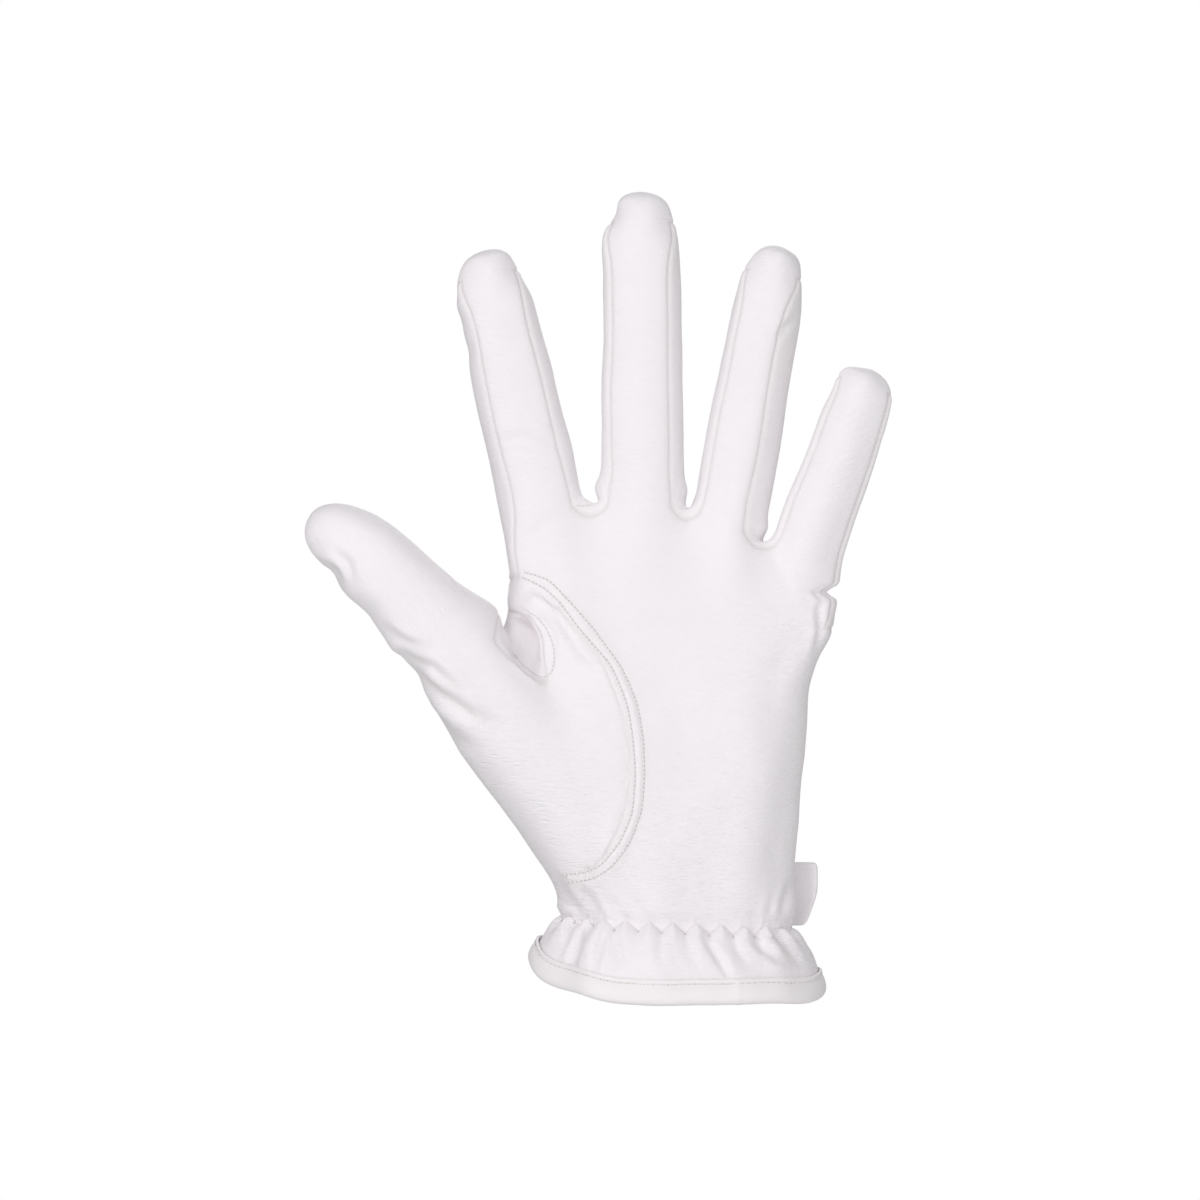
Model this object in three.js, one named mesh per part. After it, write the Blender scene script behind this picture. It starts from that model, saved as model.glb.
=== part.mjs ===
// A left-hand riding glove of thin white leather, shown as a hand fills it, with its palm to the front (-Y),
// its fingers up (+Z) and its thumb to the left (-X). Millimetres. The origin is the centre of the wrist
// opening. The glove is one hollow form, drawn as a coarse cage whose columns are its seams and lanes. The
// cage is smoothed and cut along those seams into the panels that a glover sews: palm, back, thumb front and
// back, thumb gusset, and a fourchette between each pair of fingers. A binding finishes the hem, and a strap
// closes a vent in the back of the wrist.
import * as THREE from 'three';

// Sizes of the hand
const palmWidth = 92; // across the roots of the fingers
const palmHeight = 122; // from the elastic to the root of the middle finger
const palmDepth = 40; // through the ball of the thumb
const indexLength = 77.5;
const middleLength = 90.8;
const ringLength = 81.5;
const littleLength = 59;
const fingerWidth = 23.6;
const fingerDepth = 20.5;
const thumbLength = 85.3; // from the middle of its base to the tip
const thumbWidth = 27;
const thumbDepth = 25;

// Sizes of the leather and of what is sewn to it
const wall = 1.2;
const seamGap = 0.3;
const cuffLength = 13.6; // from the elastic down to the middle of the rim
const cuffFlare = 8.8; // from the elastic out to the rim
const elasticPinch = 1.45; // how far the elastic draws the wrist in
const rimFront = 8.4; // how far the rim dips at the front
const rimBack = 2; // how far it rises at the back
const rimThumb = 4.9; // how far it rises at the thumb side
const rimLittle = 5.2; // how far it dips at the little finger's side
const gatherDepth = 1;
const bindingWidth = 5.8;
const bindingThickness = 0.9;
const bindingEase = 0.4; // between the binding and the leather inside it
const ventWidth = 4.4;
const strapWidth = 18.5;
const strapThickness = 1.6;
const strapReach = 21; // past the place where it leaves the wrist
const strapLift = 22.3; // from the middle of the rim up to its middle line

const flareCurve = 0.85; // exponent of the flare: under 1 opens fastest just below the elastic
const gatherRise = 0.45; // how far above the elastic the gathers reach, a share of cuffLength
const roundness = 2.3; // exponent of a section: 2 is an ellipse, more is boxier
const gatherSides = 4; // facets in one gather
const fitRounds = 8;

const leather = { color: 0xf3eff1, roughness: 0.55, metalness: 0 };
const bindingLook = { color: 0xf1ecee, roughness: 0.6, metalness: 0 };
const strapLook = { color: 0xefeaec, roughness: 0.65, metalness: 0 };

// Lanes run up the palm and round the back. Each finger has three in front and three behind, named front or
// back and left, middle or right, and the wrist has one more at each side.
const fingerNames = ['index', 'middle', 'ring', 'little'];
const lanes = [
  'thumbSide',
  ...fingerNames.flatMap((name) => [`${name}FrontLeft`, `${name}FrontMiddle`, `${name}FrontRight`]),
  'littleSide',
  ...[...fingerNames].reverse()
    .flatMap((name) => [`${name}BackRight`, `${name}BackMiddle`, `${name}BackLeft`]),
];
const lane = (name) => lanes.indexOf(name);
const littleSide = lane('littleSide');

// Palm rows, from the wrist up. Places are seen from the front: x is a share of palmWidth, rise a share of
// palmHeight above the elastic. left is the silhouette at the thumb side, edge the edge of the thumb's base
// and of its keyhole, middle and seam lie on the double-stitched seam round the ball of the thumb, or
// inside it, and right is the silhouette at the little finger. fan is 0 where the lanes are evenly spaced
// and 1 where they point at the fingers. vent is the vent's width there, a share of ventWidth.
const palmRows = [
  { left: [-0.388, 0.048], edge: [-0.359, 0.048], middle: [-0.3, 0.048], seam: [-0.25, 0.048],
    right: [0.369, 0.048], backEdge: [-0.359, 0.048], fan: 0, vent: 0.85 },
  { left: [-0.432, 0.135], edge: [-0.359, 0.122], middle: [-0.29, 0.135], seam: [-0.222, 0.176],
    right: [0.366, 0.178], backEdge: [-0.34, 0.14], fan: 0, vent: 0.6 },
  { left: [-0.46, 0.392], edge: [-0.391, 0.364], middle: [-0.266, 0.368], seam: [-0.161, 0.38],
    right: [0.4, 0.38], backEdge: [-0.426, 0.364], fan: 0.1 },
  { left: [-0.558, 0.711], edge: [-0.419, 0.582], middle: [-0.314, 0.583], seam: [-0.221, 0.57],
    right: [0.404, 0.559], backEdge: [-0.473, 0.63], fan: 0.35 },
  { left: [-0.536, 0.815], edge: [-0.515, 0.83], middle: [-0.436, 0.787], seam: [-0.35, 0.727],
    right: [0.48, 0.705], backEdge: [-0.504, 0.808], fan: 0.8 },
];
// How far each row stands forward in front and backward behind, as shares of palmDepth: at the edge, the
// seam, the hollow of the palm, the heel below the little finger, its rim, and over the whole back.
const palmDepths = [
  { edge: 0.2, seam: 0.45, hollow: 0.525, heel: 0.44, rim: 0.24, back: 0.525 },
  { edge: 0.4, seam: 0.55, hollow: 0.53, heel: 0.45, rim: 0.22, back: 0.51 },
  { edge: 0.57, seam: 0.53, hollow: 0.465, heel: 0.44, rim: 0.22, back: 0.475 },
  { edge: 0.38, seam: 0.465, hollow: 0.405, heel: 0.39, rim: 0.21, back: 0.425 },
  { edge: 0.21, seam: 0.39, hollow: 0.36, heel: 0.34, rim: 0.19, back: 0.375 },
];

// Fingers: rootX is a share of palmWidth and rootRise of palmHeight. lean is degrees towards the little
// finger, and skew how much more the root slopes. width and depth are shares of fingerWidth and fingerDepth.
// leftSeam and rightSeam are how far out the front panel reaches, as shares of the finger's half width.
const fingers = [
  { name: 'index', length: indexLength, rootX: -0.432, rootRise: 0.984, lean: -12.8, skew: 1,
    width: 1.0, depth: 1.0, tipShift: 0.03, leftSeam: 0.68, rightSeam: 0.7 },
  { name: 'middle', length: middleLength, rootX: -0.12, rootRise: 0.997, lean: 0, skew: 1,
    width: 1.01, depth: 1.02, tipShift: 0, leftSeam: 0.8, rightSeam: 0.66 },
  { name: 'ring', length: ringLength, rootX: 0.15, rootRise: 0.953, lean: 9.9, skew: 13,
    width: 0.9, depth: 0.96, tipShift: 0.05, leftSeam: 0.76, rightSeam: 0.45 },
  { name: 'little', length: littleLength, rootX: 0.391, rootRise: 0.872, lean: 19.5, skew: 2,
    width: 0.865, depth: 0.88, tipShift: -0.05, leftSeam: 0.84, rightSeam: 0.93 },
];
// Along a finger, as shares of its length, width and depth. forward is how far it curls to the front. seam
// is 1 where a fourchette has its full width and 0 where it has run out.
const fingerRows = [
  { along: 0.0, width: 1.06, depth: 1.08, forward: 0.0, seam: 1 },
  { along: 0.2, width: 1.01, depth: 1.02, forward: 0.04, seam: 1 },
  { along: 0.42, width: 0.99, depth: 0.97, forward: 0.12, seam: 1 },
  { along: 0.64, width: 0.96, depth: 0.92, forward: 0.22, seam: 1 },
  { along: 0.8, width: 0.92, depth: 0.86, forward: 0.3, seam: 0.75 },
  { along: 0.9, width: 0.82, depth: 0.74, forward: 0.34, seam: 0.1 },
  { along: 0.97, width: 0.58, depth: 0.5, forward: 0.35, seam: 0.9 },
];
const fourchetteRows = 5; // rows of a finger that its fourchettes reach over
const closedSeam = 0.97; // share of the half width where the seams of a spent fourchette meet
const backSeam = 0.7;

// Thumb: root is a share of palmWidth and palmHeight. Along it, along is a share of thumbLength, aside of
// thumbWidth towards the fingers, width and depth of its own, forward of thumbDepth, and turn degrees that
// the row is turned back towards the palm.
const thumbRoot = { x: -0.504, rise: 0.487, lean: -45 };
const thumbRows = [
  { along: 0.146, aside: -0.053, width: 1.74, depth: 1.36, forward: 0.24, turn: 36 },
  { along: 0.344, aside: 0.069, width: 1.17, depth: 1.16, forward: 0.36, turn: 13 },
  { along: 0.517, aside: 0.069, width: 1.0, depth: 1.0, forward: 0.44, turn: 0 },
  { along: 0.709, aside: 0.084, width: 0.91, depth: 0.9, forward: 0.5, turn: 0 },
  { along: 0.86, aside: 0.06, width: 0.76, depth: 0.72, forward: 0.52, turn: 0 },
  { along: 0.955, aside: 0.02, width: 0.5, depth: 0.46, forward: 0.53, turn: 0 },
];
const thumbSeam = 0.66;

// The cuff's rows: share is 0 at the elastic, negative above it, and 1 at the rim.
const cuffRows = [
  { share: -0.22, gather: 0.5 },
  { share: 0, gather: 1 },
  { share: 0.5, gather: 1.1 },
];

const form = { points: [], faces: [] };
const degrees = THREE.MathUtils.degToRad;
const { lerp, clamp } = THREE.MathUtils;
const levelOf = (rise) => cuffLength + rise * palmHeight;

function addPoint(x, y, z) {
  form.points.push(new THREE.Vector3(x, y, z));
  return form.points.length - 1;
}

function addFace(panel, corners) {
  form.faces.push({ panel, corners });
}

// How deep a rounded section is at a share of its half width.
function bulge(share) {
  return (1 - Math.abs(share) ** roundness) ** (1 / roundness);
}

// A value between named knots, each given as [lane, value].
function between(knots, place) {
  const found = knots.findIndex(([at], i) => i > 0 && at >= place);
  const next = found < 0 ? knots.length - 1 : found;
  const [lower, upper] = [knots[next - 1], knots[next]];
  return lerp(lower[1], upper[1], clamp((place - lower[0]) / (upper[0] - lower[0]), 0, 1));
}

// The eight points of a digit's section, from its left side round the front, as [across, back].
function sectionOf(halfWidth, halfDepth, leftSeam, rightSeam, rearSeam) {
  const shares = [-leftSeam, (rightSeam - leftSeam) / 2, rightSeam];
  const front = shares.map((share) => [share * halfWidth, -bulge(share) * halfDepth]);
  const back = [rearSeam, 0, -rearSeam].map((share) => [share * halfWidth, bulge(share) * halfDepth]);
  return [[-halfWidth, 0], ...front, [halfWidth, 0], ...back];
}

function fingerRing(finger, row) {
  const open = clamp(row.seam, 0, 1);
  const halfWidth = row.width * finger.width * fingerWidth / 2;
  const halfDepth = row.depth * finger.depth * fingerDepth / 2;
  const section = sectionOf(halfWidth, halfDepth, lerp(closedSeam, finger.leftSeam, open),
    lerp(closedSeam, finger.rightSeam, open), lerp(closedSeam, backSeam, open));
  const lean = degrees(finger.lean);
  const skew = row.along === 0 ? Math.tan(degrees(finger.skew)) : 0;
  const shift = finger.tipShift * fingerWidth * row.along ** 3;
  return section.map(([across, back]) => {
    const along = row.along * finger.length - across * skew;
    const aside = across + shift;
    return new THREE.Vector3(
      finger.rootX * palmWidth + aside * Math.cos(lean) + along * Math.sin(lean),
      back - row.forward * finger.depth * fingerDepth,
      levelOf(finger.rootRise) - aside * Math.sin(lean) + along * Math.cos(lean));
  });
}

function thumbRing(row) {
  const section = sectionOf(row.width * thumbWidth / 2, row.depth * thumbDepth / 2,
    thumbSeam, thumbSeam, thumbSeam);
  const lean = degrees(thumbRoot.lean);
  const turned = degrees(thumbRoot.lean - row.turn);
  const along = row.along * thumbLength;
  const aside = row.aside * thumbWidth;
  return section.map(([across, back]) => new THREE.Vector3(
    thumbRoot.x * palmWidth + aside * Math.cos(lean) + along * Math.sin(lean) + across * Math.cos(turned),
    back - row.forward * thumbDepth,
    levelOf(thumbRoot.rise) - aside * Math.sin(lean) + along * Math.cos(lean) - across * Math.sin(turned)));
}

// Faces between two rings of a digit. panels names the panel of each of the eight lanes.
function joinRings(lower, upper, panels) {
  panels.forEach((panel, i) => {
    const next = (i + 1) % panels.length;
    addFace(panel, [lower[i], lower[next], upper[next], upper[i]]);
  });
}

// Four faces over the last ring of a digit, the seam running over the tip from side to side.
function closeTip(ring, tip, frontPanel) {
  const [left, frontLeft, front, frontRight, right, backRight, back, backLeft] = ring;
  addFace(frontPanel.front, [frontLeft, front, tip, left]);
  addFace(frontPanel.front, [front, frontRight, right, tip]);
  addFace(frontPanel.back, [tip, right, backRight, back]);
  addFace(frontPanel.back, [left, tip, back, backLeft]);
}

function middleOf(points) {
  return points.reduce((sum, point) => sum.add(point), new THREE.Vector3()).divideScalar(points.length);
}

// A ring's middle, moved on along a digit to its end.
function addTip(ringPoints, reach, lean) {
  const tip = middleOf(ringPoints).add(
    new THREE.Vector3(Math.sin(degrees(lean)) * reach, 0, Math.cos(degrees(lean)) * reach));
  return addPoint(tip.x, tip.y, tip.z);
}

const addRing = (points) => points.map((point) => addPoint(point.x, point.y, point.z));

// Roots of the fingers, which end the lanes of the palm
const rootRings = fingers.map((finger) => addRing(fingerRing(finger, fingerRows[0])));
const topRow = lanes.map((name) => {
  if (name === 'thumbSide') return rootRings[0][0];
  if (name === 'littleSide') return rootRings[3][4];
  const finger = fingerNames.findIndex((each) => name.startsWith(each));
  const places = ['FrontLeft', 'FrontMiddle', 'FrontRight', '', 'BackRight', 'BackMiddle', 'BackLeft'];
  return rootRings[finger][1 + places.indexOf(name.slice(fingerNames[finger].length))];
});

const ventLanes = [lane('ringBackLeft'), lane('middleBackRight')];
const ventMiddle = -0.01; // a share of palmWidth
const seamLane = lane('indexFrontRight');
const backSweep = 1.88; // how much of a full half turn the lanes of the back take, of 2

// One row of the palm: a point on each lane.
function palmRow(row, depths) {
  const topX = topRow.map((point) => form.points[point].x / palmWidth);
  const named = { 0: row.left, 1: row.edge, 2: row.middle, [seamLane]: row.seam, [littleSide]: row.right };
  const frontKnots = [[1, depths.edge], [seamLane, depths.seam], [lane('middleFrontRight'), depths.hollow],
    [lane('littleFrontLeft'), depths.heel], [lane('littleFrontRight'), depths.rim]];
  return lanes.map((name, i) => {
    const inFront = i < littleSide;
    const [start, end] = inFront ? [seamLane, littleSide] : [littleSide, lanes.length - 1];
    const [from, to] = inFront ? [row.seam, row.right] : [row.right, row.backEdge];
    const even = (i - start) / (end - start);
    const fanned = (topX[i] - topX[start]) / (topX[end] - topX[start]);
    const share = lerp(even, fanned, row.fan);
    const [x, rise] = named[i] ?? [lerp(from[0], to[0], share), lerp(from[1], to[1], even)];
    let depth = 0;
    if (i > 0 && inFront) depth = -between(frontKnots, i);
    if (i > littleSide) depth = depths.back * bulge(1 - backSweep * even);
    const atVent = row.vent && (i === ventLanes[0] || i === ventLanes[1]);
    const side = i === ventLanes[0] ? 1 : -1;
    const placed = atVent ? ventMiddle + side * row.vent * ventWidth / palmWidth / 2 : x;
    return addPoint(placed * palmWidth, depth * palmDepth, levelOf(rise));
  });
}

const rows = palmRows.map((row, r) => palmRow(row, palmDepths[r]));
rows.push(topRow);

// Faces of the palm and of the back
const sideLanes = [lanes.length - 1, 0]; // the two beside the thumb side, behind and in front
const thumbBase = [1, 2]; // rows that the thumb's base covers
const gussetRow = 3;
function palmPanel(r, i) {
  const beside = sideLanes.includes(i);
  if (beside && thumbBase.includes(r)) return null;
  if (r === 0 && i === ventLanes[0]) return null;
  if (beside && r === gussetRow) return 'thumb_gusset';
  if (beside && r > gussetRow) return 'back_panel';
  if (i > 0 && i < seamLane && r > 0 && r <= gussetRow) return 'thumb_panel';
  const palmEdge = r <= gussetRow ? littleSide : littleSide - 1;
  return i < palmEdge ? 'palm_panel' : 'back_panel';
}
for (let r = 0; r < rows.length - 1; r += 1) {
  for (let i = 0; i < lanes.length; i += 1) {
    const next = (i + 1) % lanes.length;
    const panel = palmPanel(r, i);
    if (panel) addFace(panel, [rows[r][i], rows[r][next], rows[r + 1][next], rows[r + 1][i]]);
  }
}

// Webs between the fingers, and the fingers
const sides = { left: 0, right: 4 };
for (let f = 0; f < 3; f += 1) {
  const [left, right] = [rootRings[f], rootRings[f + 1]];
  const panel = `fourchette_${fingerNames[f]}_${fingerNames[f + 1]}`;
  addFace(panel, [left[3], right[1], right[sides.left], left[sides.right]]);
  addFace(panel, [left[sides.right], right[sides.left], right[7], left[5]]);
}
fingers.forEach((finger, f) => {
  const leftPanel = f === 0 ? 'back_panel' : `fourchette_${fingerNames[f - 1]}_${finger.name}`;
  const rightPanel = f === 3 ? 'back_panel' : `fourchette_${finger.name}_${fingerNames[f + 1]}`;
  let lower = rootRings[f];
  fingerRows.slice(1).forEach((row, r) => {
    const ring = fingerRing(finger, row);
    const upper = addRing(ring);
    const spent = r + 1 > fourchetteRows;
    const [frontSide, backSide] = spent ? ['palm_panel', 'back_panel'] : [null, null];
    joinRings(lower, upper, [frontSide ?? leftPanel, 'palm_panel', 'palm_panel', frontSide ?? rightPanel,
      backSide ?? rightPanel, 'back_panel', 'back_panel', backSide ?? leftPanel]);
    lower = upper;
  });
  const reach = (1 - fingerRows[fingerRows.length - 1].along) * finger.length;
  const tip = addTip(lower.map((i) => form.points[i]), reach, finger.lean);
  closeTip(lower, tip, { front: 'palm_panel', back: 'back_panel' });
});

// Thumb, from the rows of the palm that its base leaves open
const [bottom, middle, top] = [rows[1], rows[2], rows[3]];
const behind = lanes.length - 1;
let lowerRing = [
  bottom[0], bottom[1], middle[1], top[1], top[0], top[behind], middle[behind], bottom[behind]];
thumbRows.forEach((row, r) => {
  const upper = addRing(thumbRing(row));
  const [inner, innerBack] = r === 0 ? ['thumb_gusset', 'thumb_gusset'] : ['thumb_panel', 'thumb_back'];
  joinRings(lowerRing, upper, ['thumb_panel', 'thumb_panel', 'thumb_panel', inner, innerBack,
    'thumb_back', 'thumb_back', 'thumb_back']);
  lowerRing = upper;
});
const thumbReach = (1 - thumbRows[thumbRows.length - 1].along) * thumbLength;
const thumbTip = addTip(lowerRing.map((i) => form.points[i]), thumbReach, thumbRoot.lean);
closeTip(lowerRing, thumbTip, { front: 'thumb_panel', back: 'thumb_back' });

// Smoothing: the cage is moved until the smooth form passes through its points, and then divided.
const keyOf = (a, b) => (a < b ? `${a} ${b}` : `${b} ${a}`);

function edgesOf(faces) {
  const edges = new Map();
  faces.forEach(({ corners }, f) => corners.forEach((a, i) => {
    const b = corners[(i + 1) % corners.length];
    const edge = edges.get(keyOf(a, b)) ?? { ends: [a, b], faces: [] };
    edge.faces.push(f);
    edges.set(keyOf(a, b), edge);
  }));
  return edges;
}

// Around each point: its neighbours, the far corners of its faces, and its neighbours along an open rim.
function surroundings({ points, faces }) {
  const around = points.map(() => ({ near: [], opposite: [], rim: [], faces: [] }));
  for (const { ends: [a, b], faces: beside } of edgesOf(faces).values()) {
    around[a].near.push(points[b]);
    around[b].near.push(points[a]);
    if (beside.length === 1) {
      around[a].rim.push(points[b]);
      around[b].rim.push(points[a]);
    }
  }
  faces.forEach(({ corners }, f) => corners.forEach((corner, i) => {
    around[corner].opposite.push(points[corners[(i + 2) % corners.length]]);
    around[corner].faces.push(f);
  }));
  return around;
}

// Where each point ends when the form is smoothed for ever.
function smoothPoints(shape) {
  return surroundings(shape).map(({ near, opposite, rim, faces }, i) => {
    const point = shape.points[i];
    if (faces.length === 1) return point.clone();
    if (rim.length) return middleOf([point, point, point, point, ...rim]);
    const n = near.length;
    return point.clone().multiplyScalar(n * n).addScaledVector(middleOf(near), 4 * n)
      .addScaledVector(middleOf(opposite), n).divideScalar(n * (n + 5));
  });
}

function fittedCage({ points, faces }) {
  const cage = points.map((point) => point.clone());
  for (let round = 0; round < fitRounds; round += 1) {
    smoothPoints({ points: cage, faces }).forEach((smooth, i) => cage[i].add(points[i]).sub(smooth));
  }
  return { points: cage, faces };
}

function subdivided({ points, faces }) {
  const edges = edgesOf(faces);
  const facePoints = faces.map(({ corners }) => middleOf(corners.map((corner) => points[corner])));
  const moved = surroundings({ points, faces }).map(({ near, rim, faces: own }, i) => {
    const point = points[i];
    if (own.length === 1) return point.clone();
    if (rim.length) return middleOf([point, point, point, point, point, point, ...rim]);
    const n = near.length;
    const middles = middleOf(near).add(point).divideScalar(2);
    return point.clone().multiplyScalar(n - 3).addScaledVector(middles, 2)
      .add(middleOf(own.map((f) => facePoints[f]))).divideScalar(n);
  });
  const edgeIndex = new Map();
  const edgePoints = [...edges].map(([key, { ends, faces: beside }], e) => {
    edgeIndex.set(key, points.length + e);
    const parts = ends.map((end) => points[end]);
    return middleOf(beside.length === 1 ? parts : [...parts, ...beside.map((f) => facePoints[f])]);
  });
  const firstFace = points.length + edgePoints.length;
  const quads = faces.flatMap(({ panel, corners }, f) => corners.map((corner, i) => {
    const next = corners[(i + 1) % corners.length];
    const before = corners[(i + corners.length - 1) % corners.length];
    return { panel, corners: [
      corner, edgeIndex.get(keyOf(corner, next)), firstFace + f, edgeIndex.get(keyOf(before, corner))] };
  }));
  return { points: [...moved, ...edgePoints, ...facePoints], faces: quads, edgeIndex };
}

const divided = subdivided(fittedCage(form));
const glove = { points: smoothPoints(divided), faces: divided.faces };

// The cuff hangs from the wrist's ring, with gathers that need more points than the hand.
const wristRing = rows[0].flatMap((point, i) => [
  point, divided.edgeIndex.get(keyOf(point, rows[0][(i + 1) % lanes.length]))]);
const cuffCount = lanes.length * gatherSides;
const perLane = cuffCount / lanes.length;
const perWristPoint = cuffCount / wristRing.length;
const firstColumn = ventLanes[1] * perLane; // the cuff runs from one edge of the vent round to the other
const lastColumn = ventLanes[0] * perLane + cuffCount;

// The wrist's ring as places, with the middle of the vent between its two edges.
const wristPlaces = wristRing.map((point, i) => (point === undefined
  ? middleOf([wristRing[i - 1], wristRing[i + 1]].map((beside) => glove.points[beside]))
  : glove.points[point]));

function wristPoint(column) {
  const place = column / perWristPoint;
  const [low, high] = [Math.floor(place), Math.ceil(place)].map((i) => wristPlaces[i % wristPlaces.length]);
  return low.clone().lerp(high, place - Math.floor(place));
}

// The level of the rim, and the outward direction of the wrist's ring, at a column of the cuff.
function rimLevel(direction) {
  const side = direction.x > 0 ? -rimLittle : rimThumb;
  const facing = direction.y < 0 ? -rimFront : rimBack;
  return side * direction.x ** 2 + facing * direction.y ** 2;
}

function outwardAt(column) {
  const run = wristPoint(column + perLane).sub(wristPoint(column + cuffCount - perLane));
  return new THREE.Vector3(run.y, -run.x, 0).normalize();
}

function cuffPoint(column, share, gather) {
  const start = wristPoint(column);
  const outward = outwardAt(column);
  const above = clamp(-share / gatherRise, 0, 1);
  const flare = cuffFlare * Math.max(0, share) ** flareCurve - elasticPinch * (1 - above);
  const fold = gatherDepth * gather * Math.cos(2 * Math.PI * column / gatherSides);
  const point = start.clone().addScaledVector(outward, flare + fold);
  point.z = share > 0 ? lerp(cuffLength, rimLevel(outward), share) : lerp(cuffLength, start.z, above);
  return point;
}

// The share of a column where the binding's upper edge lies.
function bindingShare(column) {
  const drop = cuffLength - rimLevel(outwardAt(column));
  return 1 - (bindingWidth + 2 * seamGap) / Math.hypot(drop, cuffFlare);
}

function addCuffRow(pointAt) {
  const row = [];
  for (let column = firstColumn; column <= lastColumn; column += 1) {
    row.push(glove.points.length);
    glove.points.push(pointAt(column));
  }
  return row;
}

const cuffPanel = (column) => (column % cuffCount < littleSide * perLane ? 'palm_panel' : 'back_panel');
const cuffLevels = cuffRows.map(({ share, gather }) => addCuffRow(
  (column) => cuffPoint(column, share > 0 ? share * bindingShare(column) : share, gather)));
cuffLevels.push(addCuffRow((column) => cuffPoint(column, bindingShare(column), 0)));
cuffLevels.push(addCuffRow((column) => cuffPoint(column, 1, 0)));
for (let column = firstColumn; column < lastColumn; column += 1) {
  const c = column - firstColumn;
  const panel = cuffPanel(column);
  const top = cuffLevels[0];
  const [from, to] = column % 2 ? [wristRing[((column + 1) / 2) % wristRing.length], null]
    : [wristRing[(column / 2) % wristRing.length], wristRing[(column / 2 + 1) % wristRing.length]];
  glove.faces.push({ panel, corners: [top[c], top[c + 1], from] });
  if (to !== null) glove.faces.push({ panel, corners: [top[c + 1], to, from] });
  for (let level = 1; level < cuffLevels.length; level += 1) {
    const [upper, lower] = [cuffLevels[level - 1], cuffLevels[level]];
    glove.faces.push({ panel, corners: [lower[c], lower[c + 1], upper[c + 1], upper[c]] });
  }
}

// Panels: the faces of one panel, drawn in by half a gap at its seams and given the leather's thickness.
function faceNormal(corners) {
  const [a, b] = [corners[0], corners[1]].map((corner, i) => (
    glove.points[corners[(i + 2) % corners.length]].clone().sub(glove.points[corner])));
  return a.cross(b);
}

const normals = glove.points.map(() => new THREE.Vector3());
glove.faces.forEach(({ corners }) => {
  const normal = faceNormal(corners);
  corners.forEach((corner) => normals[corner].add(normal));
});
normals.forEach((normal) => normal.normalize());

function panelGeometry(name) {
  const faces = glove.faces.filter(({ panel }) => panel === name).map(({ corners }) => corners);
  const sidesOf = (corners) => corners.map((a, i) => [a, corners[(i + 1) % corners.length]]);
  const directed = new Set(faces.flatMap((corners) => sidesOf(corners).map(([a, b]) => `${a} ${b}`)));
  const seams = faces.flatMap(sidesOf).filter(([a, b]) => !directed.has(`${b} ${a}`));
  const inward = new Map(seams.flat().map((point) => [point, new THREE.Vector3()]));
  faces.forEach((corners) => {
    const middle = middleOf(corners.map((corner) => glove.points[corner]));
    corners.filter((corner) => inward.has(corner)).forEach((corner) => {
      inward.get(corner).add(middle.clone().sub(glove.points[corner]).normalize());
    });
  });
  const used = [...new Set(faces.flat())];
  const place = new Map(used.map((point, i) => [point, i]));
  const outer = used.map((point) => {
    const moved = glove.points[point].clone();
    if (!inward.has(point)) return moved;
    const direction = inward.get(point).projectOnPlane(normals[point]).normalize();
    return moved.addScaledVector(direction, seamGap / 2);
  });
  const inner = used.map((point, i) => outer[i].clone().addScaledVector(normals[point], -wall));
  const triangles = [];
  faces.forEach((corners) => {
    const outside = corners.map((corner) => place.get(corner));
    const inside = outside.map((i) => i + used.length).reverse();
    [outside, inside].forEach((loop) => {
      for (let i = 1; i < loop.length - 1; i += 1) triangles.push(loop[0], loop[i], loop[i + 1]);
    });
  });
  seams.forEach(([a, b]) => {
    const [start, end] = [place.get(a), place.get(b)];
    triangles.push(end, start, start + used.length, end, start + used.length, end + used.length);
  });
  return geometryOf([...outer, ...inner], triangles);
}

function geometryOf(points, triangles) {
  const geometry = new THREE.BufferGeometry().setFromPoints(points);
  geometry.setIndex(triangles);
  geometry.computeVertexNormals();
  return geometry;
}

// A bar through sections of equally many points, closed at both ends. outline is the flat section.
function barGeometry(sections, outline) {
  const count = outline.length;
  const caps = THREE.ShapeUtils.triangulateShape(outline.map(([a, b]) => new THREE.Vector2(a, b)), []);
  const lastSection = (sections.length - 1) * count;
  const triangles = caps.flatMap(([a, b, c]) => [c, b, a, lastSection + a, lastSection + b, lastSection + c]);
  for (let s = 0; s < sections.length - 1; s += 1) {
    for (let i = 0; i < count; i += 1) {
      const [a, b] = [s * count + i, s * count + (i + 1) % count];
      triangles.push(a, b, b + count, a, b + count, a + count);
    }
  }
  return geometryOf(sections.flat(), triangles);
}

const group = new THREE.Group();
function addPiece(name, geometry, look) {
  const mesh = new THREE.Mesh(geometry, new THREE.MeshStandardMaterial(look));
  mesh.name = name;
  group.add(mesh);
}

[...new Set(glove.faces.map(({ panel }) => panel))].forEach((name) => {
  addPiece(name, panelGeometry(name), leather);
});

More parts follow.
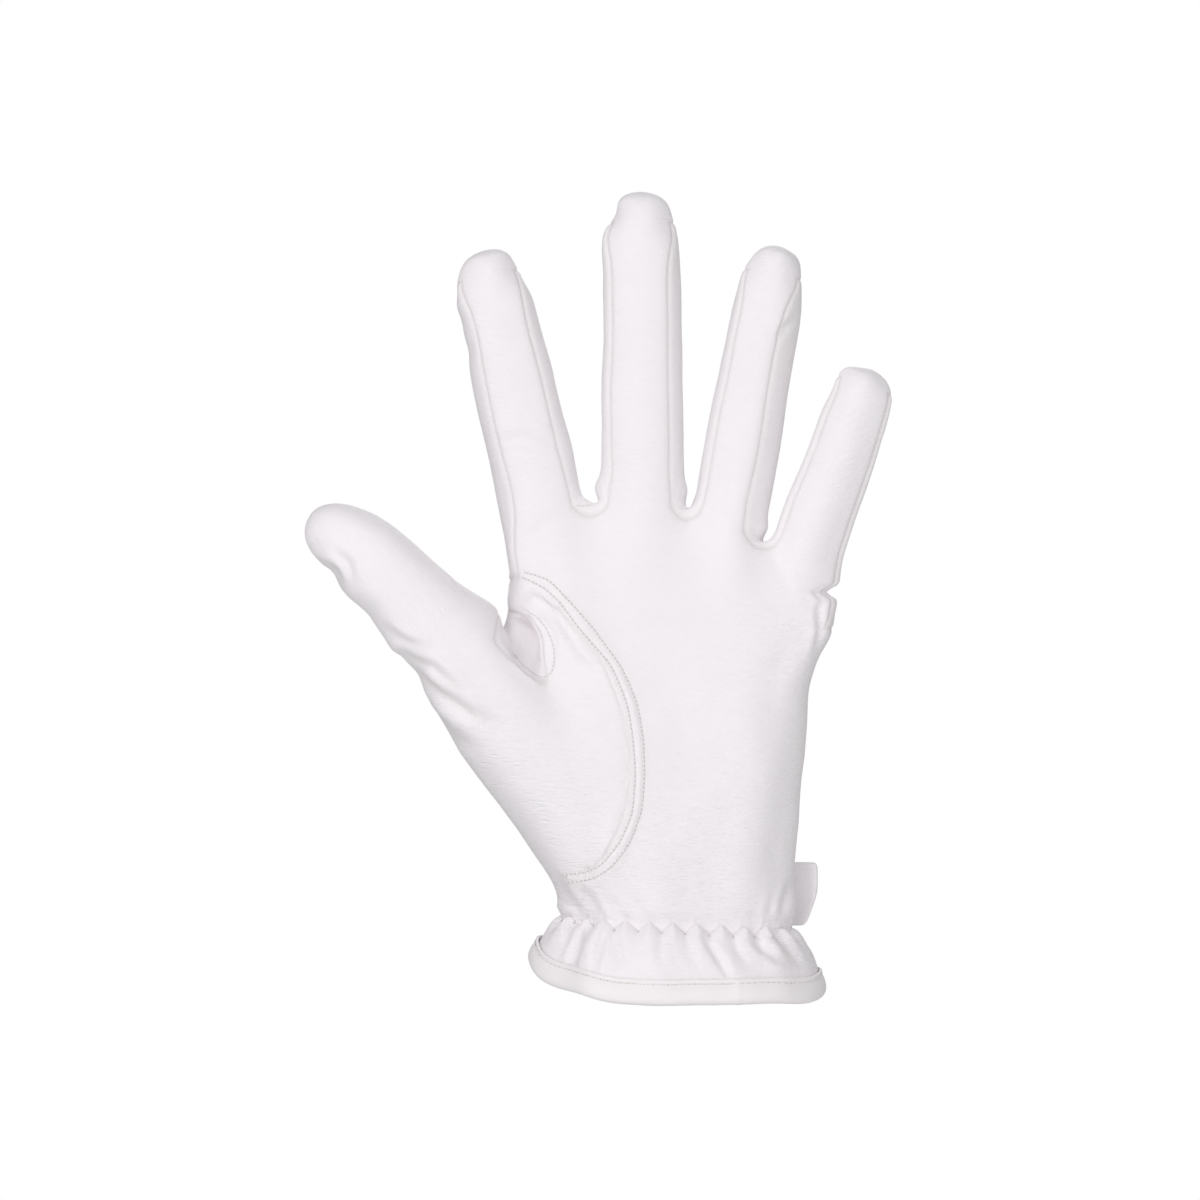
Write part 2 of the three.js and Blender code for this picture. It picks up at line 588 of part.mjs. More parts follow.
// Binding: folded over the rim, as [out from the leather's outer face, down past the rim].
const bindingOuter = bindingEase + bindingThickness;
const bindingInner = -wall - bindingEase;
const bindingReturn = 0.7 * bindingWidth; // how far the binding reaches up inside the cuff
const bindingOutline = [
  [bindingEase, -bindingWidth], [bindingOuter, -bindingWidth + bindingThickness / 2],
  [bindingOuter, bindingThickness], [-wall / 2, bindingEase + 2 * bindingThickness],
  [bindingInner - bindingThickness, bindingThickness], [bindingInner - bindingThickness, -bindingReturn],
  [bindingInner, -bindingReturn], [bindingInner, bindingEase], [bindingEase, bindingEase],
];
const bindingSections = [];
for (let column = firstColumn; column <= lastColumn; column += perWristPoint) {
  const rim = cuffPoint(column, 1, 0);
  const down = rim.clone().sub(cuffPoint(column, bindingShare(column), 0)).normalize();
  const along = cuffPoint(column + 1, 1, 0).sub(cuffPoint(column - 1, 1, 0)).normalize();
  const out = down.clone().cross(along).normalize();
  bindingSections.push(bindingOutline.map(([outward, below]) => (
    rim.clone().addScaledVector(out, outward).addScaledVector(down, below))));
}
addPiece('hem_binding', barGeometry(bindingSections, bindingOutline), bindingLook);

// Strap: sewn down on the thumb side of the vent, across the back of the wrist, its free end standing off.
const strapClearance = gatherDepth / 2 + seamGap;
const strapSewn = ventLanes[1] + 2; // lanes between which the strap follows the wrist
const strapLeaves = littleSide + 2.5;
const strapPath = [];
for (let column = strapSewn * perLane; column >= strapLeaves * perLane; column -= perWristPoint) {
  const outward = outwardAt(column);
  const point = wristPoint(column).addScaledVector(outward, strapClearance).setZ(strapLift);
  strapPath.push({ point, outward });
}
const leaving = strapPath[strapPath.length - 1];
const off = new THREE.Vector3(leaving.outward.y, -leaving.outward.x, 0);
strapPath.push({ point: leaving.point.clone().addScaledVector(off, strapReach), outward: leaving.outward });
const strapOutline = [
  [0, -strapWidth / 2], [strapThickness, -strapWidth / 2],
  [strapThickness, strapWidth / 2], [0, strapWidth / 2],
];
const strapSections = strapPath.map(({ point, outward }) => strapOutline.map(([out, up]) => (
  point.clone().addScaledVector(outward, out).add(new THREE.Vector3(0, 0, up)))));
addPiece('closure_strap', barGeometry(strapSections, strapOutline), strapLook);

export default group;
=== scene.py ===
import math

import bmesh
import bpy
import numpy as np
from mathutils import Matrix, Vector, noise
from mathutils.bvhtree import BVHTree
from mathutils.kdtree import KDTree


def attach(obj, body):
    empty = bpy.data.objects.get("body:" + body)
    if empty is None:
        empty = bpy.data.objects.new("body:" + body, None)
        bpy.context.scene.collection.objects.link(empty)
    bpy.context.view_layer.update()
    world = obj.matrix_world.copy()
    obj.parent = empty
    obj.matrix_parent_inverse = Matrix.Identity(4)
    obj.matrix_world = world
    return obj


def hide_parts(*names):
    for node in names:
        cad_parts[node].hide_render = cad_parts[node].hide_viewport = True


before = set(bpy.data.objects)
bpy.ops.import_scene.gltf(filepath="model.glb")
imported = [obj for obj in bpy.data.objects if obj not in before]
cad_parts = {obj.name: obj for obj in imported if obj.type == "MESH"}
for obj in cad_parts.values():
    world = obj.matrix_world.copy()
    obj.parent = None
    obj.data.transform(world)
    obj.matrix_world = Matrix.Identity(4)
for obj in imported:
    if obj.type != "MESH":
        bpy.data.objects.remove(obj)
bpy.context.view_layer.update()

millimetre = 0.001
view = {"scale": 0.29, "middle": 680, "base": 972, "size": 1200, "distance": 3000, "sensor": 36}


def at(column, row):  # a place in the picture as (x, z) on the glove
    return (column - view["middle"]) * view["scale"], (view["base"] - row) * view["scale"]


def lerp(a, b, share):
    return a + (b - a) * share


def smooth(values, low, high):  # 0 below low, 1 above high, eased between
    share = np.clip((np.asarray(values, float) - low) / (high - low), 0, 1)
    return share * share * (3 - 2 * share)


def bell(distances, width, middle=0):  # 1 in the middle, fading over the width
    return np.exp(-((distances - middle) / width) ** 2)


def runOf(path):  # how far along a path each of its points is
    return np.concatenate([[0], np.cumsum(np.linalg.norm(np.diff(path, axis=0), axis=1))])


def addObject(name, data):
    made = bpy.data.objects.new(name, data)
    bpy.context.collection.objects.link(made)
    return made


def meshFrom(bm, name):
    bmesh.ops.scale(bm, verts=bm.verts, vec=(millimetre,) * 3)
    mesh = bpy.data.meshes.new(name)
    bm.to_mesh(mesh)
    bm.free()
    return mesh


# Camera, light, backdrop
studio = {
    "sky": (1, 1, 1), "skySeen": 1.0, "skyLight": 0.34, "target": (-20, 0, 110),
    "floorLevel": -300, "floorRadius": 1100, "floorColor": (0.9, 0.9, 0.9, 1), "floorRoughness": 0.9,
    "lamps": [
        # name, place, size, power
        ("key", (-900, -1500, 1000), 2300, 17.9),
        ("fill", (750, -1550, 250), 1300, 5.4),
        ("side", (1400, -700, 250), 900, 1.8),
        ("low", (-700, -1200, -250), 900, 3.2),
        ("rear", (300, 1300, 900), 1200, 4),
    ],
}


def makeCamera():
    camera = addObject("camera", bpy.data.cameras.new("camera"))
    x, z = at(view["size"] / 2, view["size"] / 2)
    camera.location = Vector((x, -view["distance"], z)) * millimetre
    camera.rotation_euler = (math.radians(90), 0, 0)
    camera.data.sensor_width = view["sensor"]
    camera.data.lens = view["sensor"] * view["distance"] / (view["size"] * view["scale"])
    bpy.context.scene.camera = camera


def makeStudio():
    target = Vector(studio["target"]) * millimetre
    for name, place, size, power in studio["lamps"]:
        light = bpy.data.lights.new(name, "AREA")
        light.shape = "DISK"
        light.size = size * millimetre
        light.energy = power
        lamp = addObject(name, light)
        lamp.location = Vector(place) * millimetre
        lamp.rotation_euler = (target - lamp.location).to_track_quat("-Z", "Y").to_euler()
    world = bpy.data.worlds.new("studio")
    bpy.context.scene.world = world
    world.use_nodes = True
    nodes, links = world.node_tree.nodes, world.node_tree.links
    nodes["Background"].inputs["Color"].default_value = (*studio["sky"], 1)
    seen = nodes.new("ShaderNodeLightPath")
    strength = nodes.new("ShaderNodeMapRange")
    strength.inputs["To Min"].default_value = studio["skyLight"]
    strength.inputs["To Max"].default_value = studio["skySeen"]
    links.new(seen.outputs["Is Camera Ray"], strength.inputs["Value"])
    links.new(strength.outputs["Result"], nodes["Background"].inputs["Strength"])
    bpy.context.scene.view_settings.view_transform = "Standard"

    bm = bmesh.new()
    bmesh.ops.create_circle(bm, cap_ends=True, segments=96, radius=studio["floorRadius"])
    bmesh.ops.translate(bm, verts=bm.verts, vec=(0, 0, studio["floorLevel"]))
    floor = addObject("floor", meshFrom(bm, "floor"))
    material = bpy.data.materials.new("floor")
    material.use_nodes = True
    paint = material.node_tree.nodes["Principled BSDF"].inputs
    paint["Base Color"].default_value = studio["floorColor"]
    paint["Roughness"].default_value = studio["floorRoughness"]
    floor.data.materials.append(material)


makeCamera()
makeStudio()
print("camera and studio")

# The hand's form, with the rows of the palm, the fingers and the thumb as in the model's own tables
hand = {
    "palmWidth": 92, "palmHeight": 122, "palmDepth": 40, "wristLevel": 13.6,
    "fingerWidth": 23.6, "fingerDepth": 20.5,
    "thumbLength": 85.3, "thumbWidth": 27, "thumbDepth": 25,
    "roundness": 2.3, "backSweep": 1.88, "ventWidth": 4.4, "ventMiddle": -0.01,
    "depthLanes": (1, 3, 6, 9, 10, 11, 12), "heelShape": (1.02, 0.97, 0.83), "rimShape": 1.12,
    "fourchetteRows": 5, "closedSeam": 0.97, "backSeam": 0.7, "thumbSeam": 0.66,
    "fitRounds": 8, "levels": 4, "wall": 1.0, "sharp": 55,
}
palmRows = [
    # left, edge, middle, seam, right and the back's edge, fan, vent, depths
    ((-0.388, 0.048), (-0.359, 0.048), (-0.3, 0.048), (-0.25, 0.048),
     (0.369, 0.048), (-0.359, 0.048), 0, 0.85, (0.2, 0.45, 0.525, 0.44, 0.24, 0.525)),
    ((-0.432, 0.135), (-0.359, 0.122), (-0.29, 0.135), (-0.222, 0.176),
     (0.366, 0.178), (-0.34, 0.14), 0, 0.6, (0.4, 0.55, 0.53, 0.45, 0.22, 0.51)),
    ((-0.46, 0.392), (-0.391, 0.364), (-0.266, 0.368), (-0.161, 0.38),
     (0.4, 0.38), (-0.426, 0.364), 0.1, 0, (0.57, 0.53, 0.465, 0.44, 0.22, 0.475)),
    ((-0.558, 0.711), (-0.419, 0.582), (-0.314, 0.583), (-0.221, 0.57),
     (0.404, 0.559), (-0.473, 0.63), 0.35, 0, (0.38, 0.465, 0.405, 0.39, 0.21, 0.425)),
    ((-0.536, 0.815), (-0.515, 0.83), (-0.436, 0.787), (-0.35, 0.727),
     (0.48, 0.705), (-0.504, 0.808), 0.8, 0, (0.21, 0.39, 0.36, 0.34, 0.19, 0.375)),
]
fingerKeys = ("name", "length", "root", "lean", "skew", "width", "depth", "tipShift", "seams")
fingers = [dict(zip(fingerKeys, values)) for values in (
    ("index", 77.5, (-0.432, 0.984), -12.8, 1, 1.0, 1.0, 0.03, (0.68, 0.7)),
    ("middle", 90.8, (-0.12, 0.997), 0, 1, 1.01, 1.02, 0, (0.8, 0.66)),
    ("ring", 81.5, (0.15, 0.953), 9.9, 13, 0.9, 0.96, 0.05, (0.76, 0.45)),
    ("little", 59, (0.391, 0.872), 19.5, 2, 0.865, 0.88, -0.05, (0.84, 0.93)),
)]
fingerRows = [  # along, width, depth, forward, seam
    (0, 1.06, 1.08, 0, 1), (0.2, 1.01, 1.02, 0.04, 1), (0.42, 0.99, 0.97, 0.12, 1),
    (0.64, 0.96, 0.92, 0.22, 1), (0.8, 0.92, 0.86, 0.3, 0.75), (0.9, 0.82, 0.74, 0.34, 0.1),
    (0.97, 0.58, 0.5, 0.35, 0.9),
]
thumbRoot = {"x": -0.504, "rise": 0.487, "lean": -45}
thumbRows = [  # along, aside, width, depth, forward, turn
    (0.146, -0.053, 1.74, 1.36, 0.24, 36), (0.344, 0.069, 1.17, 1.16, 0.36, 13),
    (0.517, 0.069, 1, 1, 0.44, 0), (0.709, 0.084, 0.91, 0.9, 0.5, 0),
    (0.86, 0.06, 0.76, 0.72, 0.52, 0), (0.955, 0.02, 0.5, 0.46, 0.53, 0),
]
laneCount, littleSide, seamLane, ventLanes = 26, 13, 3, (19, 20)
fingerNames = [finger["name"] for finger in fingers]
between = [f"fourchette_{a}_{b}" for a, b in zip(fingerNames, fingerNames[1:])]
panels = ["palm_panel", "back_panel", "thumb_panel", "thumb_back", "thumb_gusset", *between]


def bulge(share):  # how deep a rounded section is at a share of its half width
    return (1 - abs(share) ** hand["roundness"]) ** (1 / hand["roundness"])


def sectionOf(halfWidth, halfDepth, leftSeam, rightSeam, rearSeam):
    front = [(share * halfWidth, -bulge(share) * halfDepth)
             for share in (-leftSeam, (rightSeam - leftSeam) / 2, rightSeam)]
    back = [(share * halfWidth, bulge(share) * halfDepth) for share in (rearSeam, 0, -rearSeam)]
    return [(-halfWidth, 0), *front, (halfWidth, 0), *back]


def levelOf(rise):
    return hand["wristLevel"] + rise * hand["palmHeight"]


def fingerPlaces(finger, row):
    along, width, depth, forward, seam = row
    seams = [lerp(hand["closedSeam"], opened, seam) for opened in (*finger["seams"], hand["backSeam"])]
    section = sectionOf(width * finger["width"] * hand["fingerWidth"] / 2,
                        depth * finger["depth"] * hand["fingerDepth"] / 2, *seams)
    lean = math.radians(finger["lean"])
    skew = math.tan(math.radians(finger["skew"])) if along == 0 else 0
    shift = finger["tipShift"] * hand["fingerWidth"] * along ** 3
    places = []
    for across, back in section:
        rise = along * finger["length"] - across * skew
        aside = across + shift
        places.append(Vector((
            finger["root"][0] * hand["palmWidth"] + aside * math.cos(lean) + rise * math.sin(lean),
            back - forward * finger["depth"] * hand["fingerDepth"],
            levelOf(finger["root"][1]) - aside * math.sin(lean) + rise * math.cos(lean))))
    return places


def thumbPlaces(row):
    along, aside, width, depth, forward, turn = row
    seams = [hand["thumbSeam"]] * 3
    section = sectionOf(width * hand["thumbWidth"] / 2, depth * hand["thumbDepth"] / 2, *seams)
    lean = math.radians(thumbRoot["lean"])
    turned = math.radians(thumbRoot["lean"] - turn)
    rise, aside = along * hand["thumbLength"], aside * hand["thumbWidth"]
    return [Vector((
        thumbRoot["x"] * hand["palmWidth"] + aside * math.cos(lean) + rise * math.sin(lean)
        + across * math.cos(turned),
        back - forward * hand["thumbDepth"],
        levelOf(thumbRoot["rise"]) - aside * math.sin(lean) + rise * math.cos(lean)
        - across * math.sin(turned))) for across, back in section]


def palmPlaces(row, topPlaces):  # one point on each lane
    left, leftEdge, middle, thumbSeam, right, backEdge, fan, vent, depths = row
    edge, seam, hollow, heel, rim, back = depths
    depths = [edge, seam, hollow, *[heel * share for share in hand["heelShape"]], rim * hand["rimShape"]]
    named = {0: left, 1: leftEdge, 2: middle, seamLane: thumbSeam, littleSide: right}
    topX = [place.x for place in topPlaces]
    places = []
    for lane in range(laneCount):
        inFront = lane < littleSide
        start, end = (seamLane, littleSide) if inFront else (littleSide, laneCount - 1)
        first, last = (thumbSeam, right) if inFront else (right, backEdge)
        even = (lane - start) / (end - start)
        share = lerp(even, (topX[lane] - topX[start]) / (topX[end] - topX[start]), fan)
        x, rise = named.get(lane, (lerp(first[0], last[0], share), lerp(first[1], last[1], even)))
        depth = 0
        if 0 < lane < littleSide:
            depth = -np.interp(lane, hand["depthLanes"], depths)
        if lane > littleSide:
            depth = back * bulge(1 - hand["backSweep"] * even)
        x *= hand["palmWidth"]
        if vent and lane in ventLanes:
            side = 1 if lane == ventLanes[0] else -1
            x = hand["ventMiddle"] * hand["palmWidth"] + side * vent * hand["ventWidth"] / 2
        places.append(Vector((x, depth * hand["palmDepth"], levelOf(rise))))
    return places


def palmPanel(row, lane):
    beside = lane in (0, laneCount - 1)
    if beside and row >= 3:
        return "thumb_gusset" if row == 3 else "back_panel"
    if 0 < lane < seamLane and 0 < row < 4:
        return "thumb_panel"
    return "palm_panel" if lane < (littleSide if row < 4 else littleSide - 1) else "back_panel"


def edgesOf(bm, ring):  # the edges round a ring of points
    return [bm.edges.get(pair) for pair in zip(ring, ring[1:] + ring[:1])]


def put(points, places):
    for point, place in zip(points, places):
        point.co = place


def nextRing(bm, ring, places, names=(), closed=True):  # extrudes a ring of points to the next one's places
    edges = edgesOf(bm, ring)[:None if closed else -1]
    made = set(bmesh.ops.extrude_edge_only(bm, edges=edges)["geom"])
    upper = [next(edge.other_vert(point) for edge in point.link_edges if edge.other_vert(point) in made)
             for point in ring]
    put(upper, places)
    panel = bm.faces.layers.int.get("panel")
    for name, pair in zip(names, zip(upper, upper[1:] + upper[:1])):
        bm.edges.get(pair).link_faces[0][panel] = panels.index(name)
    return upper


def closeTip(bm, ring, reach, lean, front, back):
    cap = bmesh.ops.contextual_create(bm, geom=edgesOf(bm, ring))["faces"]
    centre = bmesh.ops.poke(bm, faces=cap)["verts"][0]
    spokes = [bm.edges.get((centre, point)) for point in ring[1::2]]
    bmesh.ops.dissolve_edges(bm, edges=spokes, use_verts=False)
    middle = sum((point.co for point in ring), Vector()) / len(ring)
    lean = math.radians(lean)
    centre.co = middle + Vector((math.sin(lean), 0, math.cos(lean))) * reach
    panel = bm.faces.layers.int.get("panel")
    for face in centre.link_faces:
        face[panel] = panels.index(front if ring[2] in face.verts else back)


def buildCage():
    bm = bmesh.new()
    panel = bm.faces.layers.int.new("panel")
    rootPlaces = [fingerPlaces(finger, fingerRows[0]) for finger in fingers]
    topPlaces = [rootPlaces[0][0]] * laneCount
    topPlaces[littleSide] = rootPlaces[3][4]
    for f, places in enumerate(rootPlaces):
        topPlaces[1 + 3 * f:4 + 3 * f] = places[1:4]
        topPlaces[23 - 3 * f:26 - 3 * f] = places[5:8]
    rows = [bmesh.ops.create_circle(bm, segments=laneCount, radius=1)["verts"]]
    put(rows[0], palmPlaces(palmRows[0], topPlaces))
    for r, row in enumerate([*palmRows[1:], None]):
        places = palmPlaces(row, topPlaces) if row else topPlaces
        rows.append(nextRing(bm, rows[-1], places, [palmPanel(r, lane) for lane in range(laneCount)]))
    bottom, middle, top = rows[1], rows[2], rows[3]
    thumbRing = [bottom[0], bottom[1], middle[1], top[1], top[0], top[-1], middle[-1], bottom[-1]]
    bmesh.ops.delete(bm, geom=[middle[0]], context="VERTS")
    ventEdge = bm.edges.get((rows[0][ventLanes[0]], rows[0][ventLanes[1]]))
    bmesh.ops.delete(bm, geom=list(ventEdge.link_faces), context="FACES")

    highest = rows[-1]
    roots = [[None, *highest[1 + 3 * f:4 + 3 * f], None, *highest[23 - 3 * f:26 - 3 * f]] for f in range(4)]
    roots[0][0], roots[3][4] = highest[0], highest[littleSide]
    for f, name in enumerate(between):  # webs
        left, right = roots[f], roots[f + 1]
        left[4], right[0] = nextRing(bm, [left[3], right[1]], [rootPlaces[f][4], rootPlaces[f + 1][0]],
                                     [name], closed=False)
        pair = [bm.edges.get((left[4], right[0])), bm.edges.get((left[5], right[7]))]
        bmesh.ops.contextual_create(bm, geom=pair)["faces"][0][panel] = panels.index(name)
    for f, finger in enumerate(fingers):
        leftPanel = between[f - 1] if f else "back_panel"
        rightPanel = between[f] if f < 3 else "back_panel"
        ring = roots[f]
        for r, row in enumerate(fingerRows[1:], 1):
            names = [leftPanel, *["palm_panel"] * 2, rightPanel, rightPanel, *["back_panel"] * 2, leftPanel]
            if r > hand["fourchetteRows"]:
                names = ["palm_panel"] * 4 + ["back_panel"] * 4
            ring = nextRing(bm, ring, fingerPlaces(finger, row), names)
        reach = (1 - fingerRows[-1][0]) * finger["length"]
        closeTip(bm, ring, reach, finger["lean"], "palm_panel", "back_panel")
    ring = thumbRing
    for r, row in enumerate(thumbRows):
        inner = ["thumb_gusset"] * 2 if r == 0 else ["thumb_panel", "thumb_back"]
        ring = nextRing(bm, ring, thumbPlaces(row), ["thumb_panel"] * 3 + inner + ["thumb_back"] * 3)
    reach = (1 - thumbRows[-1][0]) * hand["thumbLength"]
    closeTip(bm, ring, reach, thumbRoot["lean"], "thumb_panel", "thumb_back")
    bmesh.ops.recalc_face_normals(bm, faces=bm.faces)
    bm.verts.index_update()
    wrist = [point.index for point in rows[0]]
    mesh = bpy.data.meshes.new("cage")
    bm.to_mesh(mesh)
    bm.free()
    return mesh, wrist


def placesOf(mesh):
    places = np.empty(3 * len(mesh.vertices))
    mesh.vertices.foreach_get("co", places)
    return places.reshape(-1, 3)


def smoothForm(mesh):  # fits the cage until its smooth form meets the tables' points, and divides it
    cage = addObject("cage", mesh)
    division = cage.modifiers.new("division", "SUBSURF")
    division.use_limit_surface = True
    division.boundary_smooth = "PRESERVE_CORNERS"
    division.levels = division.render_levels = 1
    wanted = placesOf(mesh)
    moved = wanted.copy()
    for _ in range(hand["fitRounds"]):
        mesh.vertices.foreach_set("co", moved.ravel())
        mesh.update()
        reached = cage.evaluated_get(bpy.context.evaluated_depsgraph_get())
        moved += wanted - placesOf(reached.data)[:len(wanted)]
    mesh.vertices.foreach_set("co", moved.ravel())
    mesh.update()
    division.levels = division.render_levels = hand["levels"]
    form = bpy.data.meshes.new_from_object(cage.evaluated_get(bpy.context.evaluated_depsgraph_get()))
    bpy.data.objects.remove(cage)
    return form


cageMesh, wristRing = buildCage()
form = smoothForm(cageMesh)
print("hand smoothed:", len(form.polygons), "faces")

# Cuff: hangs from the wrist's ring, drawn in by the elastic, with the zigzag edge of the palm over it
cuff = {
    "flare": 8.8, "pinch": 1.45, "flareCurve": 0.46,
    "rimFront": 7.2, "rimBack": 2, "rimThumb": 4.9, "rimLittle": 4.6, "thumbDip": 12, "littleDip": 8.5,
    "elastic": 13.3, "elasticSlope": -0.049,
    "pitch": 7.1, "firstTop": -2.0, "toothHeight": 1.5, "toothFade": 2.4,
    "ledge": 0.45, "ledgeFade": 2.5, "gather": 0.4, "gatherFade": 4, "gatherAbove": 0.6, "dipAbove": 0.15,
    "folds": 1.1, "foldLength": 8, "foldPlace": 3.7,
    "above": (0.9, 0.8, 0.7, 0.6, 0.5, 0.42, 0.34, 0.27, 0.2, 0.14, 0.09, 0.045, 0),
    "below": (0.004, 0.012, 0.025, 0.045, 0.07, 0.1, 0.13, 0.165, 0.2, 0.24, 0.28, 0.32, 0.36, 0.4, 0.45,
              0.5, 0.55, 0.6, 0.65, 0.7, 0.75, 0.8, 0.85, 0.9, 0.95, 1),
}


def wristChain(bm):  # the wrist's points, from one edge of the vent round to the other
    chain = [bm.verts[wristRing[ventLanes[1]]]]
    last = bm.verts[wristRing[ventLanes[0]]]
    while chain[-1] is not last:
        ahead = [edge.other_vert(chain[-1]) for edge in chain[-1].link_edges if edge.is_boundary]
        ahead = [point for point in ahead if point not in chain[-2:]]
        chain.append(min(ahead, key=lambda point: point.co.z))
    return chain


def rimLevel(outward):
    x, y = outward[:, 0], outward[:, 1]
    side = np.where(x > 0, -cuff["rimLittle"], cuff["rimThumb"])
    facing = np.where(y < 0, -cuff["rimFront"] * abs(y) ** 3, cuff["rimBack"] * y ** 2)
    dip = np.where(x < 0, cuff["thumbDip"], cuff["littleDip"]) * (y < 0)
    return side * x ** 2 + facing - dip * abs(x ** 3 * y)


def cuffShape(start):  # what every column of the cuff needs, and its place at a row
    count = len(start)
    reach = count // laneCount
    ahead = np.roll(start, -reach, 0) - np.roll(start, reach, 0)
    outward = np.stack([ahead[:, 1], -ahead[:, 0], np.zeros(count)], 1)
    window = 2 * reach + 1
    padded = np.pad(outward, ((reach, reach), (0, 0)), "edge")
    outward = np.stack([np.convolve(padded[:, axis], np.ones(window), "valid") for axis in range(3)], 1)
    outward /= np.linalg.norm(outward, axis=1)[:, None]
    along = runOf(start)
    front = np.flatnonzero(start[:, 1] < 0)
    first = front[np.argmin(abs(start[front, 0] - cuff["firstTop"]))]
    phase = (along - along[first]) / cuff["pitch"]
    tooth = 4 * abs(phase - np.floor(phase) - 0.5) - 1  # 1 at the tops of the zigzag, -1 at its low points
    elastic = cuff["elastic"] + cuff["elasticSlope"] * start[:, 0]
    return {"start": start, "outward": outward, "along": along, "phase": phase, "tooth": tooth,
            "elastic": elastic, "rim": rimLevel(outward)}


def cuffRow(shape, above=None, share=0.0):  # a row above the elastic, or at a share of the way to the rim
    start, tooth = shape["start"], shape["tooth"]
    wave = np.cos(2 * np.pi * shape["phase"])
    if above is not None:
        near = smooth(1 - above, 0, 1)
        level = lerp(shape["elastic"], start[:, 2], above) + cuff["toothHeight"] * tooth * near
        out = -cuff["pinch"] * near + cuff["gatherAbove"] * wave * near * (1 - near ** 6)
        out = out - cuff["dipAbove"] * near
    else:
        fade = max(0, 1 - cuff["toothFade"] * share) ** 2
        level = lerp(shape["elastic"], shape["rim"], share) + cuff["toothHeight"] * tooth * fade
        drop = np.abs(shape["elastic"] - shape["rim"]) * share
        folds = np.array([noise.noise(Vector((s / cuff["foldLength"], share * 0.8, cuff["foldPlace"])))
                          for s in shape["along"]])
        out = cuff["flare"] * share ** cuff["flareCurve"] - cuff["pinch"]
        out = out - cuff["ledge"] * np.exp(-drop / cuff["ledgeFade"])
        out = out + cuff["gather"] * wave * np.exp(-drop / cuff["gatherFade"])
        out = out + cuff["folds"] * folds * math.sin(math.pi * min(share * 1.15, 1)) ** 0.8
    places = start + shape["outward"] * np.asarray(out)[:, None]
    places[:, 2] = level
    return places


def addCuff(bm):
    bm.verts.ensure_lookup_table()
    chain = wristChain(bm)
    shape = cuffShape(np.array([point.co for point in chain]))
    perLane = (len(chain) - 1) / (laneCount - 1)
    names = ["palm_panel" if (c / perLane + ventLanes[1]) % laneCount < littleSide else "back_panel"
             for c in range(len(chain) - 1)]
    for above in cuff["above"]:
        chain = nextRing(bm, chain, cuffRow(shape, above=above), names, closed=False)
    for share in cuff["below"]:
        chain = nextRing(bm, chain, cuffRow(shape, share=share), names, closed=False)
    return shape, cuffRow(shape, above=0)


glove = bmesh.new()
glove.from_mesh(form)
cuffColumns, ledge = addCuff(glove)
bmesh.ops.recalc_face_normals(glove, faces=glove.faces)
print("cuff:", len(cuffColumns["start"]), "columns,", len(glove.faces), "faces in all")

# Creases and seams move the surface along its normals, pushes and the notch in x and z, and painted shade
# darkens the creases, seams, lap, ledge, keyhole and stitch rows. Their places are columns and rows of the
# picture.
creases = [  # path, depth, width, lip beside it
    ([(500, 441), (528, 436), (558, 447)], 0.6, 1.5, 0.3),
    ([(498, 452), (520, 449), (540, 452)], 0.35, 1.3, 0.3),
    ([(572, 507), (540, 526), (520, 541)], 0.35, 2.0, 0.3),
    ([(706, 508), (735, 522), (764, 544)], 0.35, 2.0, 0.3),
    ([(768, 550), (780, 572), (792, 598)], 0.3, 1.8, 0.3),
    ([(337, 552), (350, 564), (353, 584)], 1.0, 1.5, 0.4),
    ([(318, 562), (334, 575), (345, 590)], 0.8, 1.5, 0.4),
    ([(382, 630), (402, 641), (428, 650)], 0.9, 1.5, 0.4),
    ([(402, 656), (432, 667), (466, 694)], 1.3, 1.6, 0.5),
    ([(410, 670), (440, 692), (472, 714), (504, 722)], 1.8, 1.8, 0.5),
    ([(426, 704), (448, 732), (474, 748)], 1.0, 1.8, 0.4),
    ([(556, 664), (575, 661), (592, 664)], 0.35, 1.1, 0.3),
    ([(570, 916), (569, 930), (567, 943)], 0.9, 1.0, 0.5),
    ([(582, 926), (577, 946), (571, 968)], 1.1, 1.2, 0.5),
    ([(603, 927), (599, 945), (594, 969)], 1.0, 1.2, 0.5),
    ([(618, 930), (618, 950), (623, 968)], 0.6, 1.3, 0.4),
    ([(660, 934), (659, 950), (662, 962)], 0.3, 1.3, 0.4),
    ([(704, 936), (715, 952), (724, 967), (730, 978)], 0.95, 1.1, 0.35),
    ([(685, 940), (692, 956), (702, 978)], 0.4, 1.6, 0.3),
    ([(751, 935), (762, 947), (777, 956), (796, 961)], 1.0, 1.2, 0.4),
    ([(777, 934), (788, 948), (802, 962)], 1.0, 1.3, 0.5),
    ([(728, 936), (738, 950), (748, 966)], 0.5, 1.4, 0.4),
    ([(553, 872), (568, 894), (584, 917)], 0.5, 1.5, 0.3),
    ([(572, 880), (592, 900), (606, 918)], 0.7, 1.5, 0.4),
    ([(598, 888), (614, 906), (628, 919)], 0.5, 1.5, 0.4),
    ([(628, 892), (640, 906), (650, 918)], 0.3, 1.6, 0.3),
    ([(792, 880), (784, 900), (781, 918)], 0.6, 1.2, 0.4),
    ([(776, 892), (770, 906), (767, 920)], 0.4, 1.2, 0.3),
    ([(720, 902), (745, 912), (775, 905)], 0.3, 3.0, 0.3),
    ([(796, 318), (786, 326), (779, 338)], 0.6, 1.1, 0.4),
    ([(824, 594), (819, 610), (820, 632), (816, 652)], 0.8, 1.1, 0.5),
    ([(800, 596), (812, 604), (818, 622)], 0.35, 1.4, 0.3),
]
creaseForms = {"ends": (0.04, 0.96), "endCurve": 0.6, "lipAt": 1.9, "shade": 0.25, "shadeWidth": 0.6}
unevenness = {
    "begins": (18, 26),
    "waves": [(16, 0.35, (0, 0, 0)), (6, 0.09, (9, 4, 2))],  # length, height, offset
}
